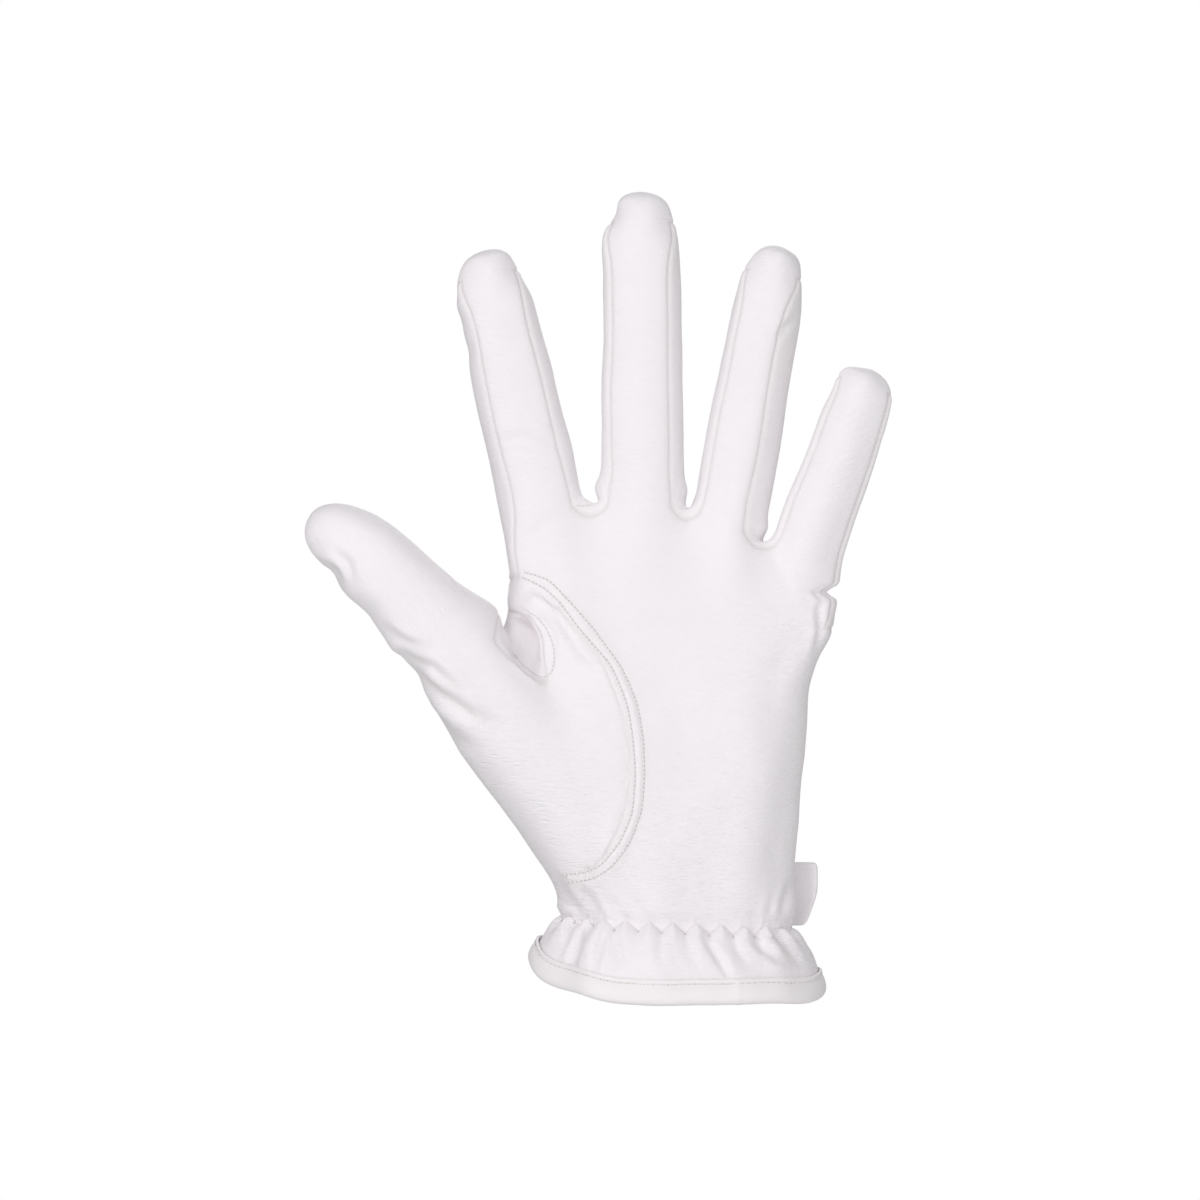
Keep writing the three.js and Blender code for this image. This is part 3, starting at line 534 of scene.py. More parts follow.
seamForms = {  # how much, how wide, how far from the seam; the shade entries are painted shade
    "groove": (-0.36, 0.5, 0), "lip": (0.04, 1.0, 1.9), "shade": (0.6, 0.5, 0), "ridge": (0.55, 0.8, 1.2),
    "lapDip": (-0.45, 1.0, 0.5), "lapShade": (0.35, 0.5, 0.2), "ledgeShade": (0.5, 0.4, 0),
    "stitchPull": (-0.3, 0.75, 0), "stitchShade": (0.12, 0.6, 0),
}
lap = {"rise": 0.6, "edge": 0.5, "level": (3.4, 6.6), "ends": (0.06, 0.94)}
# the keyhole's shade values paint shade inside its opening
keyhole = {
    "rim": (500, 514), "inside": (510, 520), "upper": (660, 625),  # columns, columns and rows
    "dip": 3.4, "dipRun": (0.5, 3.5), "shade": 0.06, "upperShade": 0.3, "shadeRun": (0.5, 3),
    "topLine": [(508, 610), (536, 621)], "topLeft": 504,
}
lapFold = [(524, 613), (526, 601), (532, 594), (542, 598), (562, 614), (575, 630), (593, 649), (604, 668),
           (617, 700), (623, 722), (627, 745), (628, 770), (626, 800), (616, 830), (604, 853), (590, 868),
           (572, 872), (553, 874)]
stitching = {
    "fineStep": 0.25, "rounding": 23, "longest": 3, "sink": 0.12, "holeSink": 0.02, "castFrom": -150,
    # pitch, thread's length and width, size of the dark disc painted as the needle hole's shadow
    "curve": (1.25, 0.95, 0.46, 0.33), "keyhole": (1.25, 1.1, 0.42, 0.24), "crotch": (1.2, 0.9, 0.4, 0.2),
    "hem": (2.0, 1.5, 0.42, 0.22),
}
seamRows = [
    ("curve", [(523, 572), (535, 575), (549, 580), (570, 602), (592, 627), (620, 665), (632, 690), (638, 708),
               (643, 740), (644, 775), (641, 810), (630, 840), (612, 865), (594, 877), (564, 882)]),
    ("curve", [(521, 577), (535, 583), (546, 589), (560, 602), (578, 627), (611, 665), (622, 690), (628, 708),
               (633, 740), (635, 775), (632, 812), (620, 840), (602, 863), (588, 871), (558, 874)]),
    ("keyhole", [(521, 606), (530, 612), (541, 620), (550, 634), (555, 650), (554, 668), (548, 679),
                 (538, 676), (526, 668), (514, 654), (506, 642)]),
    ("crotch", [(575, 505), (585, 508), (594, 504)]),
    ("crotch", [(677, 508), (686, 511), (695, 506)]),
    ("crotch", [(752, 540), (760, 544), (768, 538)]),
]
notch = ((836, 592), (9, 1.5), -3.7)  # little finger's root: place, half width and height, how far
crepeAreas = [  # where the leather is most finely wrinkled: place, radius, how much
    ((510, 800), 27, 0.6), ((690, 880), 26, 0.4), ((560, 905), 12, 0.5), ((790, 640), 14, 0.3),
    ((800, 940), 9, 0.6), ((430, 620), 12, 0.2), ((640, 480), 16, 0.15), ((760, 760), 20, 0.2),
]
crepeBase = 0.42
grainTurns = {
    "run": 12, "halfWidth": 17,
    # root, lean, where the turn begins
    "digits": [((545, 512), -12.8, -4), ((727, 530), 9.9, -4), ((804, 560), 19.5, -4), ((470, 680), -45, 8)],
}
pushes = [  # place, radius, how far
    ((457, 308), 3.2, (-0.9, 0)), ((466, 352), 3.5, (0.7, 0)), ((474, 400), 13.0, (-0.5, 0)),
    ((528, 268), 7.0, (-1.9, -0.5)), ((542, 322), 8.0, (-0.5, 0)), ((508, 590), 8.0, (0.6, 0)),
    ((602, 330), 14.0, (0.45, 0)), ((600, 440), 10.0, (0.5, 0)), ((604, 212), 4.0, (2.1, -0.6)),
    ((600, 246), 5.0, (-0.8, 0)), ((674, 222), 4.0, (-0.8, 0)), ((598, 488), 3.4, (-1.7, 0)),
    ((590, 503), 2.6, (0, 1.5)), ((684, 490), 3.2, (0.9, 0)), ((686, 506), 3.0, (0, 0.9)),
    ((768, 250), 6.0, (0, 0.5)), ((803, 280), 6.0, (-1.0, 0)), ((761, 528), 2.8, (0.9, 0)),
    ((766, 542), 2.6, (-0.2, 0.8)), ((832, 386), 6.0, (1.2, -0.5)), ((858, 360), 6.0, (0, -1.3)),
    ((888, 376), 4.5, (-0.6, -0.6)), ((812, 440), 13.0, (0.6, -0.2)), ((860, 510), 13.0, (-0.6, 0.2)),
    ((838, 614), 4.0, (-0.4, 0)), ((830, 660), 5.0, (-0.8, 0)),
    ((812, 712), 8.0, (0.6, 0)), ((804, 785), 12.0, (-1.1, 0)), ((332, 575), 3.4, (0.9, 0.9)),
    ((368, 616), 6.5, (1.3, 1.2)), ((388, 642), 4.0, (0.4, 0.3)), ((404, 657), 3.0, (1.0, 0.8)),
    ((414, 674), 4.0, (1.3, 0.8)), ((426, 700), 3.0, (0.5, 0.3)), ((506, 822), 15.0, (0.9, 0.5)),
    ((541, 634), 5.0, (1.8, -0.3)), ((520, 600), 4.0, (-1.0, 0)),
]


def pathDistance(points, path):  # from (x, z) points to a path: how far, the share along it, if right of it
    path = np.array([at(*place) for place in path])
    begun = runOf(path)
    best, share, right = np.full(len(points), 1e9), np.zeros(len(points)), np.zeros(len(points), bool)
    for start, run, before, length in zip(path, np.diff(path, axis=0), begun, np.diff(begun)):
        offset = points - start
        part = np.clip(offset @ run / length ** 2, 0, 1)
        gap = np.linalg.norm(offset - part[:, None] * run, axis=1)
        share = np.where(gap < best, (before + part * length) / begun[-1], share)
        right = np.where(gap < best, run[0] * offset[:, 1] < run[1] * offset[:, 0], right)
        best = np.minimum(best, gap)
    return best, share, right


def arraysOf(bm):
    bm.normal_update()
    return np.array([point.co for point in bm.verts]), np.array([point.normal for point in bm.verts])


def nearest(points, marks, far):  # from each point to the nearest mark
    tree = KDTree(len(marks))
    for i, mark in enumerate(marks):
        tree.insert(mark, i)
    tree.balance()
    return np.array([min(tree.find(point)[2], far) for point in points])


def seamDistance(bm, points, wanted):  # from each point to the seams between the wanted panels
    panel = bm.faces.layers.int.get("panel")
    marks = []
    for edge in bm.edges:
        if len(edge.link_faces) == 2:
            names = {panels[face[panel]] for face in edge.link_faces}
            if len(names) == 2 and wanted(names):
                marks += [edge.verts[0].co, (edge.verts[0].co + edge.verts[1].co) / 2, edge.verts[1].co]
    return nearest(points, marks, 8)


def seamForm(name, distances):
    much, width, middle = seamForms[name]
    return much * bell(distances, width, middle)


def grainPlaces(points):  # the leather's grain runs across each finger, so it turns with the finger
    turned = points.copy()
    for base, lean, begins in grainTurns["digits"]:
        lean = math.radians(lean)
        offset = points[:, [0, 2]] - at(*base)
        along = offset @ (math.sin(lean), math.cos(lean))
        across = offset @ (math.cos(lean), -math.sin(lean))
        angle = -lean * smooth(along, begins, begins + grainTurns["run"])
        angle *= abs(across) < grainTurns["halfWidth"]
        cos, sin = np.cos(angle), np.sin(angle)
        turned[:, 0] += offset[:, 0] * cos - offset[:, 1] * sin - offset[:, 0]
        turned[:, 2] += offset[:, 0] * sin + offset[:, 1] * cos - offset[:, 1]
    return turned * millimetre


def shapeSurface(bm):
    bm.verts.ensure_lookup_table()
    points, normals = arraysOf(bm)
    panel = bm.faces.layers.int.get("panel")
    gusset = panels.index("thumb_gusset")
    onGusset = np.array([any(face[panel] == gusset for face in point.link_faces) for point in bm.verts])
    flat = points[:, [0, 2]]
    front = smooth(-normals[:, 1], -0.15, 0.25)
    move, paintedShade = np.zeros(len(points)), np.zeros(len(points))

    hanging = smooth(points[:, 2], *unevenness["begins"])
    for length, height, offset in unevenness["waves"]:
        waves = np.array([noise.noise(Vector(point) / length + Vector(offset)) for point in points])
        move += height * waves * hanging
    for path, depth, width, lip in creases:
        gap, share, _ = pathDistance(flat, path)
        ends = np.sin(np.pi * np.clip(share, *creaseForms["ends"])) ** creaseForms["endCurve"] * front
        dip = bell(gap, width) * ends
        move += depth * (lip * bell(gap, width, creaseForms["lipAt"] * width) * ends - dip)
        # painted shade in the crease's groove, besides the dip in the surface
        paintedShade += creaseForms["shade"] * depth * bell(gap, creaseForms["shadeWidth"] * width) * ends

    toSeam = seamDistance(bm, points, lambda names: names != {"palm_panel", "thumb_panel"})
    toKeyhole = seamDistance(bm, points, lambda names: "thumb_gusset" in names)
    move += seamForm("groove", toSeam) + seamForm("lip", toSeam)
    # painted shade along the seams, besides their groove
    paintedShade += seamForm("shade", toSeam)
    rim = smooth(flat[:, 0], *[at(column, 0)[0] for column in keyhole["rim"]]) * ~onGusset
    move += seamForm("ridge", toKeyhole) * rim
    toLap, share, beyond = pathDistance(flat, lapFold)
    begins, stops = lap["ends"]
    ends = smooth(share, 0, begins) * (1 - smooth(share, stops, 1)) * front
    rise = (1 - smooth(toLap, *lap["level"])) * smooth(toLap, 0, lap["edge"])
    move += np.where(beyond, seamForm("lapDip", toLap), lap["rise"] * rise) * ends
    # painted shade along the lap's fold
    paintedShade += seamForm("lapShade", toLap) * ends
    # painted shade under the elastic's ledge
    paintedShade += seamForm("ledgeShade", nearest(points, ledge, 9))

    # painted shade inside the keyhole's opening, stronger at its top
    inside = smooth(flat[:, 0], *[at(column, 0)[0] for column in keyhole["inside"]]) * onGusset
    move -= keyhole["dip"] * smooth(toKeyhole, *keyhole["dipRun"]) * inside
    upper = smooth(flat[:, 1], *[at(0, row)[1] for row in keyhole["upper"]])
    shade = keyhole["shade"] + keyhole["upperShade"] * upper
    paintedShade += shade * smooth(toKeyhole, *keyhole["shadeRun"]) * inside

    for kind, path in seamRows:
        if kind != "crotch":
            gap, _, _ = pathDistance(flat, path)
            move += seamForm("stitchPull", gap) * front
            # painted shade along the stitch rows
            paintedShade += seamForm("stitchShade", gap) * front
    points += normals * move[:, None]
    for place, radius, (x, z) in pushes:
        weight = bell(np.linalg.norm(flat - at(*place), axis=1), radius)
        points[:, 0] += x * weight
        points[:, 2] += z * weight
    crepe = np.full(len(points), crepeBase)
    for place, radius, more in crepeAreas:
        crepe += more * bell(np.linalg.norm(flat - at(*place), axis=1), radius)
    place, size, shift = notch
    offset = (points[:, [0, 2]] - at(*place)) / size
    points[:, 0] += shift * np.exp(-(offset ** 2).sum(1))
    # the painted shade is kept per point as an attribute for the leather's colour
    paintedShadeLayer = bm.verts.layers.float.new("paintedShade")
    crepeLayer = bm.verts.layers.float.new("crepe")
    grainLayer = bm.verts.layers.float_vector.new("grain")
    for point, place, shade, lined, grain in zip(bm.verts, points, paintedShade, crepe, grainPlaces(points)):
        point.co = place
        point[paintedShadeLayer], point[crepeLayer], point[grainLayer] = min(shade, 1), min(lined, 1), grain


def coverWeb(bm):  # the palm's leather also covers the web in front, down to the keyhole's upper edge
    panel = bm.faces.layers.int.get("panel")
    gusset = panels.index("thumb_gusset")
    (x, z), (toX, toZ) = [at(*place) for place in keyhole["topLine"]]
    upper = Vector((z - toZ, 0, toX - x)).normalized()
    for place, normal in (((x, 0, z), upper), ((0, 0, 0), (0, -1, 0))):
        web = [face for face in bm.faces if face[panel] == gusset]
        near = {part for face in web for part in (*face.verts, *face.edges)}
        bmesh.ops.bisect_plane(bm, geom=[*web, *near], plane_co=place, plane_no=normal, dist=0.001)
    left = at(keyhole["topLeft"], 0)[0]
    for face in bm.faces:
        middle = face.calc_center_median()
        above = (middle - Vector((x, 0, z))).dot(upper) > 0
        if face[panel] == gusset and above and middle.y < 0 and middle.x > left:
            face[panel] = panels.index("palm_panel")


coverWeb(glove)
shapeSurface(glove)
print("creases and seams")

# Names of the pieces cut from the form
pieceNames = {
    "palm_panel": "palmLeather", "back_panel": "backLeather", "thumb_panel": "thumbFront",
    "thumb_back": "thumbBack", "thumb_gusset": "thumbGusset", between[0]: "fourchetteIndexMiddle",
    between[1]: "fourchetteMiddleRing", between[2]: "fourchetteRingLittle",
}


def finishPiece(bm, name, node, look, wall=0, sharp=180):
    mesh = meshFrom(bm, name)
    piece = addObject(name, mesh)
    if wall:
        thickness = piece.modifiers.new("thickness", "SOLIDIFY")
        thickness.thickness = wall * millimetre
        thickness.offset = -1
        solid = bpy.data.meshes.new_from_object(piece.evaluated_get(bpy.context.evaluated_depsgraph_get()))
        piece.modifiers.clear()
        piece.data = solid
        bpy.data.meshes.remove(mesh)
        mesh = solid
        mesh.name = name
    mesh.shade_smooth()
    mesh.set_sharp_from_angle(angle=math.radians(sharp))
    mesh.materials.append(looks[look])
    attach(piece, "root")
    if node:
        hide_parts(node)
    print(name, len(mesh.polygons), "faces")
    return piece


# Materials: one grain and one tone with painted shade, shared by all of them, each with its own values
def newGroup(name, inputs, outputs):  # sockets are named under their kind
    group = bpy.data.node_groups.new(name, "ShaderNodeTree")
    for side, kinds in (("INPUT", inputs), ("OUTPUT", outputs)):
        for kind, sockets in kinds.items():
            for socket in sockets:
                group.interface.new_socket(socket, in_out=side, socket_type="NodeSocket" + kind)
    return group, group.nodes.new("NodeGroupInput").outputs, group.nodes.new("NodeGroupOutput").inputs


def addNode(tree, kind, values=(), **settings):
    node = tree.nodes.new("ShaderNode" + kind)
    for setting, value in settings.items():
        setattr(node, setting, value)
    for socket, value in values:
        if hasattr(value, "links"):
            tree.links.new(value, node.inputs[socket])
        else:
            node.inputs[socket].default_value = value
    return node


def mathNode(tree, operation, *values):
    return addNode(tree, "Math", list(enumerate(values)), operation=operation).outputs[0]


def dividedPlace(tree, given, size):
    scale = mathNode(tree, "DIVIDE", 1.0, given[size])
    values = [(0, given["Vector"]), ("Scale", scale)]
    return addNode(tree, "VectorMath", values, operation="SCALE").outputs[0]


def makeGrainGroup():  # fine crepe lines across the leather, with pores between them
    group, given, out = newGroup("leatherGrain", {
        "Vector": ["Vector"], "Float": ["Line Length", "Line Height", "Pore", "Line Share"]},
        {"Float": ["Height"]})
    long, high = [mathNode(group, "DIVIDE", 1.0, given[size])
                  for size in ("Line Length", "Line Height")]
    stretch = addNode(group, "CombineXYZ", [("X", long), ("Y", long), ("Z", high)])
    stretched = addNode(group, "VectorMath", [
        (0, given["Vector"]), (1, stretch.outputs[0])], operation="MULTIPLY")
    lines = addNode(group, "TexNoise", [
        ("Vector", stretched.outputs[0]), ("Scale", 1.0), ("Detail", 3.0), ("Roughness", 0.55)])
    fromMiddle = mathNode(group, "ABSOLUTE", mathNode(group, "SUBTRACT", lines.outputs["Fac"], 0.5))
    ridge = mathNode(group, "SUBTRACT", 1.0, mathNode(group, "MULTIPLY", fromMiddle, 4.0))
    pores = addNode(group, "TexVoronoi", [
        ("Vector", dividedPlace(group, given, "Pore")), ("Scale", 1.0)])
    height = addNode(group, "Mix", [
        ("Factor", given["Line Share"]), ("A", pores.outputs["Distance"]), ("B", ridge)])
    group.links.new(height.outputs[0], out["Height"])
    return group


def makeToneGroup():  # slightly uneven dye, with painted shade: warmer and darker down in the seams, creases and other hollows and in the grain's low lines
    group, given, out = newGroup("leatherToneAndShade", {
        "Vector": ["Vector"], "Float": ["Painted Shade", "Height", "Patch Size", "Smooth", "Rough"],
        "Color": ["Color", "Uneven Color", "Painted Shade Color"]}, {"Color": ["Color"], "Float": ["Roughness"]})
    patches = addNode(group, "TexNoise", [
        ("Vector", dividedPlace(group, given, "Patch Size")), ("Scale", 1.0), ("Detail", 4.0),
        ("Roughness", 0.6)])
    dyed = addNode(group, "Mix", [
        ("Factor", patches.outputs["Fac"]), ("A", given["Color"]),
        ("B", given["Uneven Color"])], data_type="RGBA")
    # painted shade in the grain's low lines
    low = mathNode(group, "MULTIPLY", mathNode(group, "SUBTRACT", 1.0, given["Height"]), 0.03)
    shadeShare = mathNode(group, "MAXIMUM", mathNode(group, "MULTIPLY", given["Painted Shade"], 0.9), low)
    # mixes the colour towards the painted shade colour
    shadedColor = addNode(group, "Mix", [
        ("Factor", shadeShare), ("A", dyed.outputs["Result"]), ("B", given["Painted Shade Color"])],
        data_type="RGBA")
    gloss = addNode(group, "MapRange", [
        ("Value", patches.outputs["Fac"]), ("From Min", 0.3), ("From Max", 0.7),
        ("To Min", given["Smooth"]), ("To Max", given["Rough"])])
    group.links.new(shadedColor.outputs["Result"], out["Color"])
    group.links.new(gloss.outputs[0], out["Roughness"])
    return group


grainGroup, toneGroup = makeGrainGroup(), makeToneGroup()
finishes = {
    # grain and patches in metres, the grain's lines as length and height; the third colour is the painted
    # shade's colour
    "gloveLeather": {
        "color": (0.94, 0.905, 0.935), "uneven": (0.91, 0.872, 0.9), "paintedShade": (0.76, 0.715, 0.7),
        "patch": 0.03, "gloss": (0.4, 0.5), "line": (0.0042, 0.00095), "pore": 0.00042, "share": 0.85,
        "bump": 0.9, "depth": 0.00026, "grain": True},
    # a little lighter than the glove leather: painted light on the fourchettes, which are turned away at the
    # fingers' sides
    "fourchetteLeatherLightened": {
        "color": (0.95, 0.917, 0.94), "uneven": (0.925, 0.89, 0.912), "paintedShade": (0.74, 0.69, 0.68),
        "patch": 0.02, "gloss": (0.45, 0.55), "line": (0.0036, 0.0009), "pore": 0.0004, "share": 0.8,
        "bump": 0.8, "depth": 0.00028, "grain": True},
    "bindingLeather": {
        "color": (0.935, 0.9, 0.915), "uneven": (0.905, 0.87, 0.882), "paintedShade": (0.7, 0.6, 0.58),
        "patch": 0.012, "gloss": (0.4, 0.5), "line": (0.0012, 0.0009), "pore": 0.0005, "share": 0.5,
        "bump": 0.35, "depth": 0.0001},
    # lighter than the glove leather: painted light, as the strap lies in the wrist's shadow
    "strapLeatherLightened": {
        "color": (0.985, 0.955, 0.975), "uneven": (0.96, 0.93, 0.95), "paintedShade": (0.6, 0.5, 0.48),
        "patch": 0.02, "gloss": (0.45, 0.55), "line": (0.002, 0.0009), "pore": 0.0005, "share": 0.6,
        "bump": 0.35, "depth": 0.0001},
    "sewingThread": {
        "color": (0.9, 0.88, 0.88), "uneven": (0.8, 0.77, 0.77), "paintedShade": (0.6, 0.5, 0.48),
        "patch": 0.0006, "gloss": (0.5, 0.65), "line": (0.0003, 0.00012), "pore": 0.0001, "share": 0.6,
        "bump": 0.4, "depth": 0.00004},
    # dark discs painted as the shadow inside needle holes
    "needleHoleShadow": {
        "color": (0.71, 0.665, 0.66), "uneven": (0.63, 0.585, 0.58), "paintedShade": (0.4, 0.32, 0.3),
        "patch": 0.001, "gloss": (0.7, 0.8), "line": (0.0003, 0.0003), "pore": 0.0002, "share": 0.5,
        "bump": 0.2, "depth": 0.00003},
}


def makeFinish(name, finish):
    material = bpy.data.materials.new(name)
    material.use_nodes = True
    tree = material.node_tree
    paintedShade, strength = 0.0, finish["bump"]
    if finish.get("grain"):
        place, paintedShade, lined = [
            addNode(tree, "Attribute", attribute_name=layer).outputs[value]
            for layer, value in (("grain", "Vector"), ("paintedShade", "Fac"), ("crepe", "Fac"))]
        strength = mathNode(tree, "MULTIPLY", lined, finish["bump"])
    else:
        place = addNode(tree, "TexCoord").outputs["Object"]
    grain = addNode(tree, "Group", [
        ("Vector", place), ("Line Length", finish["line"][0]), ("Line Height", finish["line"][1]),
        ("Pore", finish["pore"]), ("Line Share", finish["share"])], node_tree=grainGroup)
    tone = addNode(tree, "Group", [
        ("Vector", place), ("Height", grain.outputs["Height"]), ("Painted Shade", paintedShade),
        ("Color", (*finish["color"], 1)), ("Uneven Color", (*finish["uneven"], 1)),
        ("Painted Shade Color", (*finish["paintedShade"], 1)), ("Patch Size", finish["patch"]),
        ("Smooth", finish["gloss"][0]), ("Rough", finish["gloss"][1])], node_tree=toneGroup)
    bump = addNode(tree, "Bump", [
        ("Strength", strength), ("Distance", finish["depth"]), ("Height", grain.outputs["Height"])])
    shader = tree.nodes["Principled BSDF"]
    shader.inputs["Specular IOR Level"].default_value = 0.4
    for socket, value in (("Base Color", tone.outputs["Color"]), ("Roughness", tone.outputs["Roughness"]),
                          ("Normal", bump.outputs["Normal"])):
        tree.links.new(value, shader.inputs[socket])
    return material


looks = {name: makeFinish(name, finish) for name, finish in finishes.items()}
print("materials")

for number, name in enumerate(panels):
    part = glove.copy()
    layer = part.faces.layers.int.get("panel")
    others = [face for face in part.faces if face[layer] != number]
    bmesh.ops.delete(part, geom=others, context="FACES")
    slot, look = "glove_leather", "gloveLeather"
    if name.startswith("fourchette"):
        slot, look = "fourchette_leather", "fourchetteLeatherLightened"
    finishPiece(part, pieceNames[name], name, look, hand["wall"], hand["sharp"])

# Hem binding: a folded strip over the rim, sewn through just below its upper edge
binding = {
    "every": 2, "upTo": 0.8, "wave": 0.16, "waveLength": 7, "join": 737, "joinRise": 0.3, "joinWidth": 0.7,
    # the section: out from the leather, down past the rim
    "outline": [(0.15, -5.7), (0.6, -6.0), (1.1, -5.7), (1.15, -5.1), (0.65, -4.45), (1.1, -3.8),
                (1.35, -2.2), (1.3, -0.4), (0.9, 0.9), (0.0, 1.6), (-1.1, 1.5), (-1.9, 0.6), (-2.1, -1.5),
                (-2.0, -4.0), (-1.6, -4.3), (-1.2, -4.0), (-1.15, 0.1), (-0.5, 0.35), (0.15, 0.1)],
    "stitch": (0.88, -4.45),
}


def bindingFrames():  # along the rim: a point on it, the direction out of the leather and the one down it
    rim = cuffRow(cuffColumns, share=1.0)
    above = cuffRow(cuffColumns, share=binding["upTo"])
    down = rim - above
    down /= np.linalg.norm(down, axis=1)[:, None]
    run = np.gradient(rim, axis=0)
    out = np.cross(down, run)
    out /= np.linalg.norm(out, axis=1)[:, None]
    return rim, out, down


def addBinding():
    rim, out, down = bindingFrames()
    joinAt = at(binding["join"], 0)[0]
    sections = []
    for c in range(0, len(rim), binding["every"]):
        wave = binding["wave"] * noise.noise(Vector(rim[c]) / binding["waveLength"])
        if rim[c][1] < 0:
            wave += binding["joinRise"] * bell(rim[c][0], binding["joinWidth"], joinAt)
        sections.append([Vector(rim[c] + out[c] * (a + (wave if a > 0 else 0)) + down[c] * (b + wave / 2))
                         for a, b in binding["outline"]])
    bm = makeTube(sections)
    roundOff(finishPiece(bm, "hemBinding", "hem_binding", "bindingLeather"))
    return rim, out, down


def makeTube(sections):  # a bar through sections of equally many points, closed at both ends
    bm = bmesh.new()
    bm.faces.layers.int.new("panel")
    ring = bmesh.ops.create_circle(bm, segments=len(sections[0]), radius=1)["verts"]
    put(ring, sections[0])
    first = ring
    for places in sections[1:]:
        ring = nextRing(bm, ring, places)
    for end in (first, ring):
        bmesh.ops.contextual_create(bm, geom=edgesOf(bm, end))
    bmesh.ops.recalc_face_normals(bm, faces=bm.faces)
    return bm


def roundOff(piece):
    division = piece.modifiers.new("division", "SUBSURF")
    division.levels = division.render_levels = 1


rimPlaces, rimOut, rimDown = addBinding()

# Strap: sewn down beside the vent, across the back of the wrist, its free end standing off
strap = {
    "level": 22.3, "clearance": 0.8, "thickness": 1.6, "halfWidth": 9.25, "reach": 21, "lift": 0.6,
    "startLane": 22, "leaveLane": 15.5, "every": 4, "steps": 12, "edge": 0.5, "under": 0.2,
    "border": 2.2, "grooveAt": 2.6, "grooveDepth": 0.25, "crown": 0.1,
    "endPlaces": (34.5, 36.5, 37.4, 39.4, 40.7), "endLower": (-9.25, -9.6, -5.6, -1.4, 3.0),
}


def addStrap():
    start, outward = cuffColumns["start"], cuffColumns["outward"]
    perLane = (len(start) - 1) // (laneCount - 1)
    first = (strap["startLane"] - ventLanes[1]) * perLane
    last = int((strap["leaveLane"] + laneCount - ventLanes[1]) * perLane)
    every = -strap["every"]
    columns = [*range(first, -1, every), *range(len(start) - 1, last - 1, every)]
    path = [(start[c] + outward[c] * strap["clearance"], outward[c]) for c in columns]
    leaving, away = path[-1]
    off = np.array([away[1], -away[0], 0])
    for step in range(1, strap["steps"] + 1):
        share = step / strap["steps"]
        path.append((leaving + off * strap["reach"] * share + away * strap["lift"] * share ** 2, away))
    high, edge, thick, under = [strap[name] for name in ("halfWidth", "edge", "thickness", "under")]
    border, grooveAt, groove = strap["border"], strap["grooveAt"], thick - strap["grooveDepth"]
    sections = []
    for place, out in path:
        low = np.interp(place[0], strap["endPlaces"], strap["endLower"])
        middle = (low + high) / 2
        outline = [(under, low), (thick - edge, low), (thick, low + edge), (thick, low + border),
                   (groove, low + grooveAt), (thick + strap["crown"], middle), (groove, high - grooveAt),
                   (thick, high - border), (thick, high - edge), (thick - edge, high), (under, high),
                   (0, high - edge), (0, middle), (0, low + edge)]
        sections.append([Vector((*(place[:2] + out[:2] * a), strap["level"] + b)) for a, b in outline])
    bm = makeTube(sections)
    roundOff(finishPiece(bm, "closureStrap", "closure_strap", "strapLeatherLightened"))


addStrap()
print("binding and strap")

# Stitches: small beads of thread along the rows, with a dark disc of painted shadow at each needle hole
# between them, and dark discs of painted shadow in the zigzag's holes
surface = BVHTree.FromBMesh(glove)
zigzagHoleShadows = {"columns": (600, 785), "below": 0.3, "size": (0.36, 0.3, 0.42)}


def evenPath(places, pitch):  # the path rounded and cut into even steps
    places = np.array([at(*place) for place in places])
    lengths = runOf(places)
    step, window = stitching["fineStep"], stitching["rounding"]
    fine = np.linspace(0, lengths[-1], int(lengths[-1] / step))
    dense = np.stack([np.interp(fine, lengths, places[:, axis]) for axis in (0, 1)], 1)
    padded = np.pad(dense, ((window // 2, window // 2), (0, 0)), "edge")
    even = np.ones(window) / window
    rounded = np.stack([np.convolve(padded[:, axis], even, "valid") for axis in (0, 1)], 1)
    return rounded[::max(1, round(pitch / step))]


def onFront(x, z):
    place, normal, _, _ = surface.ray_cast(Vector((x, stitching["castFrom"], z)), Vector((0, 1, 0)))
    return place, normal


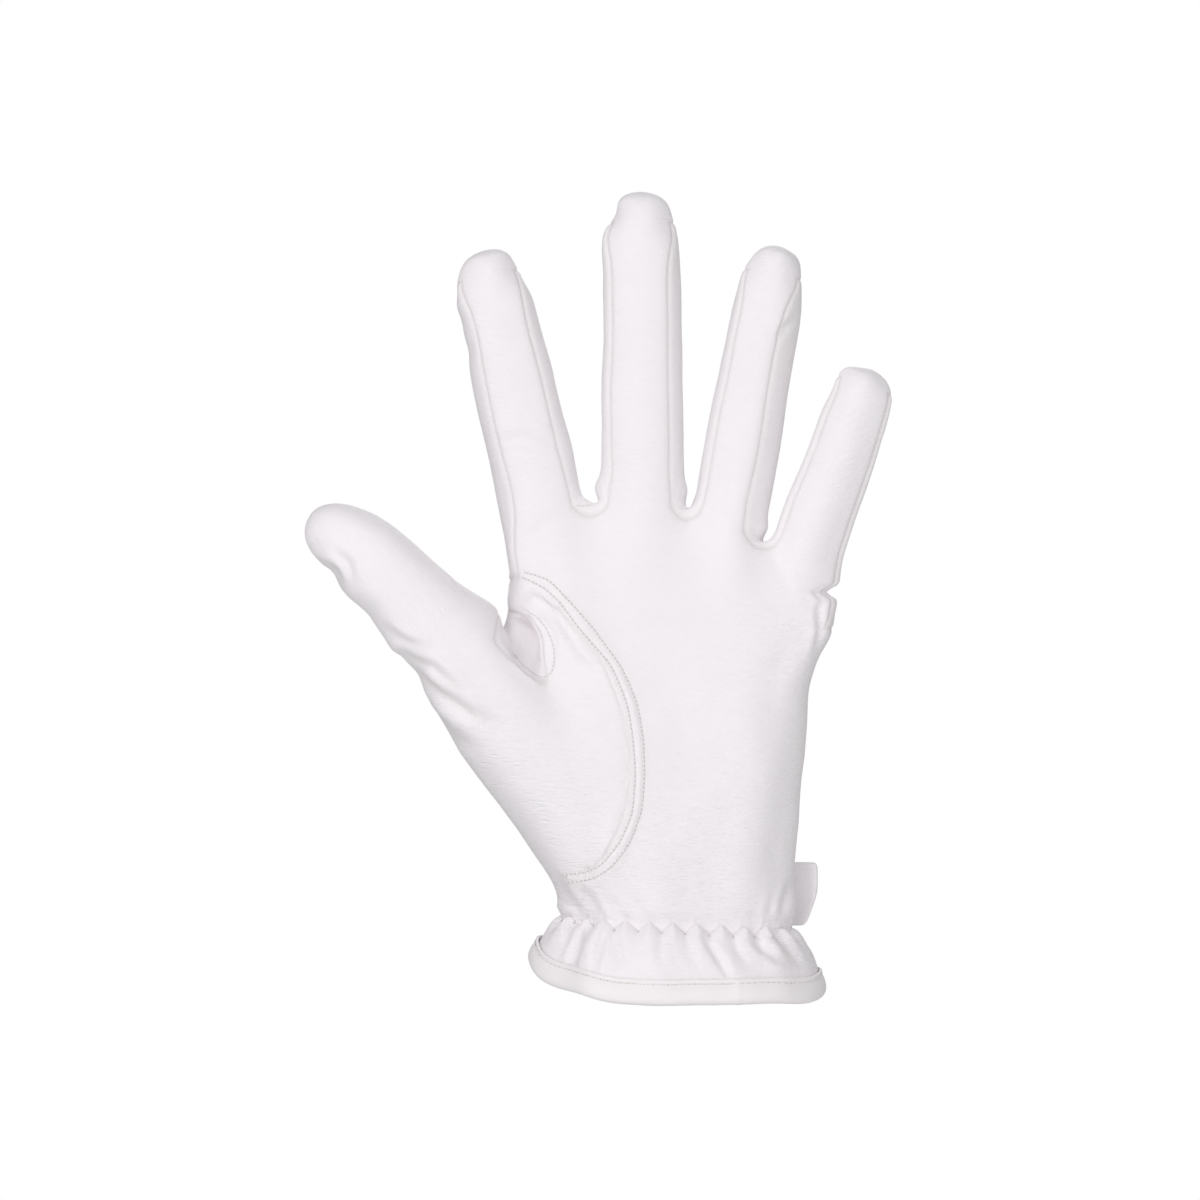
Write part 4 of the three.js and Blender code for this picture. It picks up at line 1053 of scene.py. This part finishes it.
def addBead(bm, place, turn, size, rings=5):
    matrix = Matrix.Translation(place) @ turn @ Matrix.Diagonal((*size, 1))
    bmesh.ops.create_uvsphere(bm, u_segments=8, v_segments=rings, radius=1, matrix=matrix)


def sewRow(thread, holeShadows, spots, kind):  # spots are (place, normal) pairs
    _, length, width, holeShadow = stitching[kind]
    spots = [spot for spot in spots if spot[0] is not None]
    for (place, normal), (following, _) in zip(spots, spots[1:]):
        run = following - place
        if run.length > stitching["longest"] * length:
            continue
        forward = run.normalized()
        aside = normal.cross(forward).normalized()
        up = forward.cross(aside)
        turn = Matrix((forward, aside, up)).transposed().to_4x4()
        centre = place + run / 2 + up * (width / 2 - stitching["sink"])
        addBead(thread, centre, turn, (length / 2, width / 2, width / 2))
        # a dark disc at the needle hole: painted shadow
        addBead(holeShadows, place - up * stitching["holeSink"], turn, (holeShadow, holeShadow, holeShadow / 3), rings=4)


thread, holeShadows = bmesh.new(), bmesh.new()
for kind, path in seamRows:
    sewRow(thread, holeShadows, [onFront(x, z) for x, z in evenPath(path, stitching[kind][0])], kind)
left, right = [at(column, 0)[0] for column in zigzagHoleShadows["columns"]]
# dark discs painted as the shadow in the zigzag's holes at its low points
for (x, y, z), tooth, before, after in zip(ledge[1:], *[cuffColumns["tooth"][start:] for start in (1, 0, 2)]):
    if y < 0 and tooth <= min(before, after) and left < x < right:
        place, _ = onFront(x, z - zigzagHoleShadows["below"])
        if place is not None:
            addBead(holeShadows, place, Matrix.Identity(4), zigzagHoleShadows["size"])
away, down = binding["stitch"]
hemSpots = []
lengths = runOf(rimPlaces)
for length in np.arange(0, lengths[-1], stitching["hem"][0]):
    c = int(np.argmin(abs(lengths - length)))
    hemSpots.append((Vector(rimPlaces[c] + rimOut[c] * away + rimDown[c] * down), Vector(rimOut[c])))
sewRow(thread, holeShadows, hemSpots, "hem")
finishPiece(thread, "seamStitches", None, "sewingThread")
finishPiece(holeShadows, "needleHoleShadows", None, "needleHoleShadow")
print("stitches")
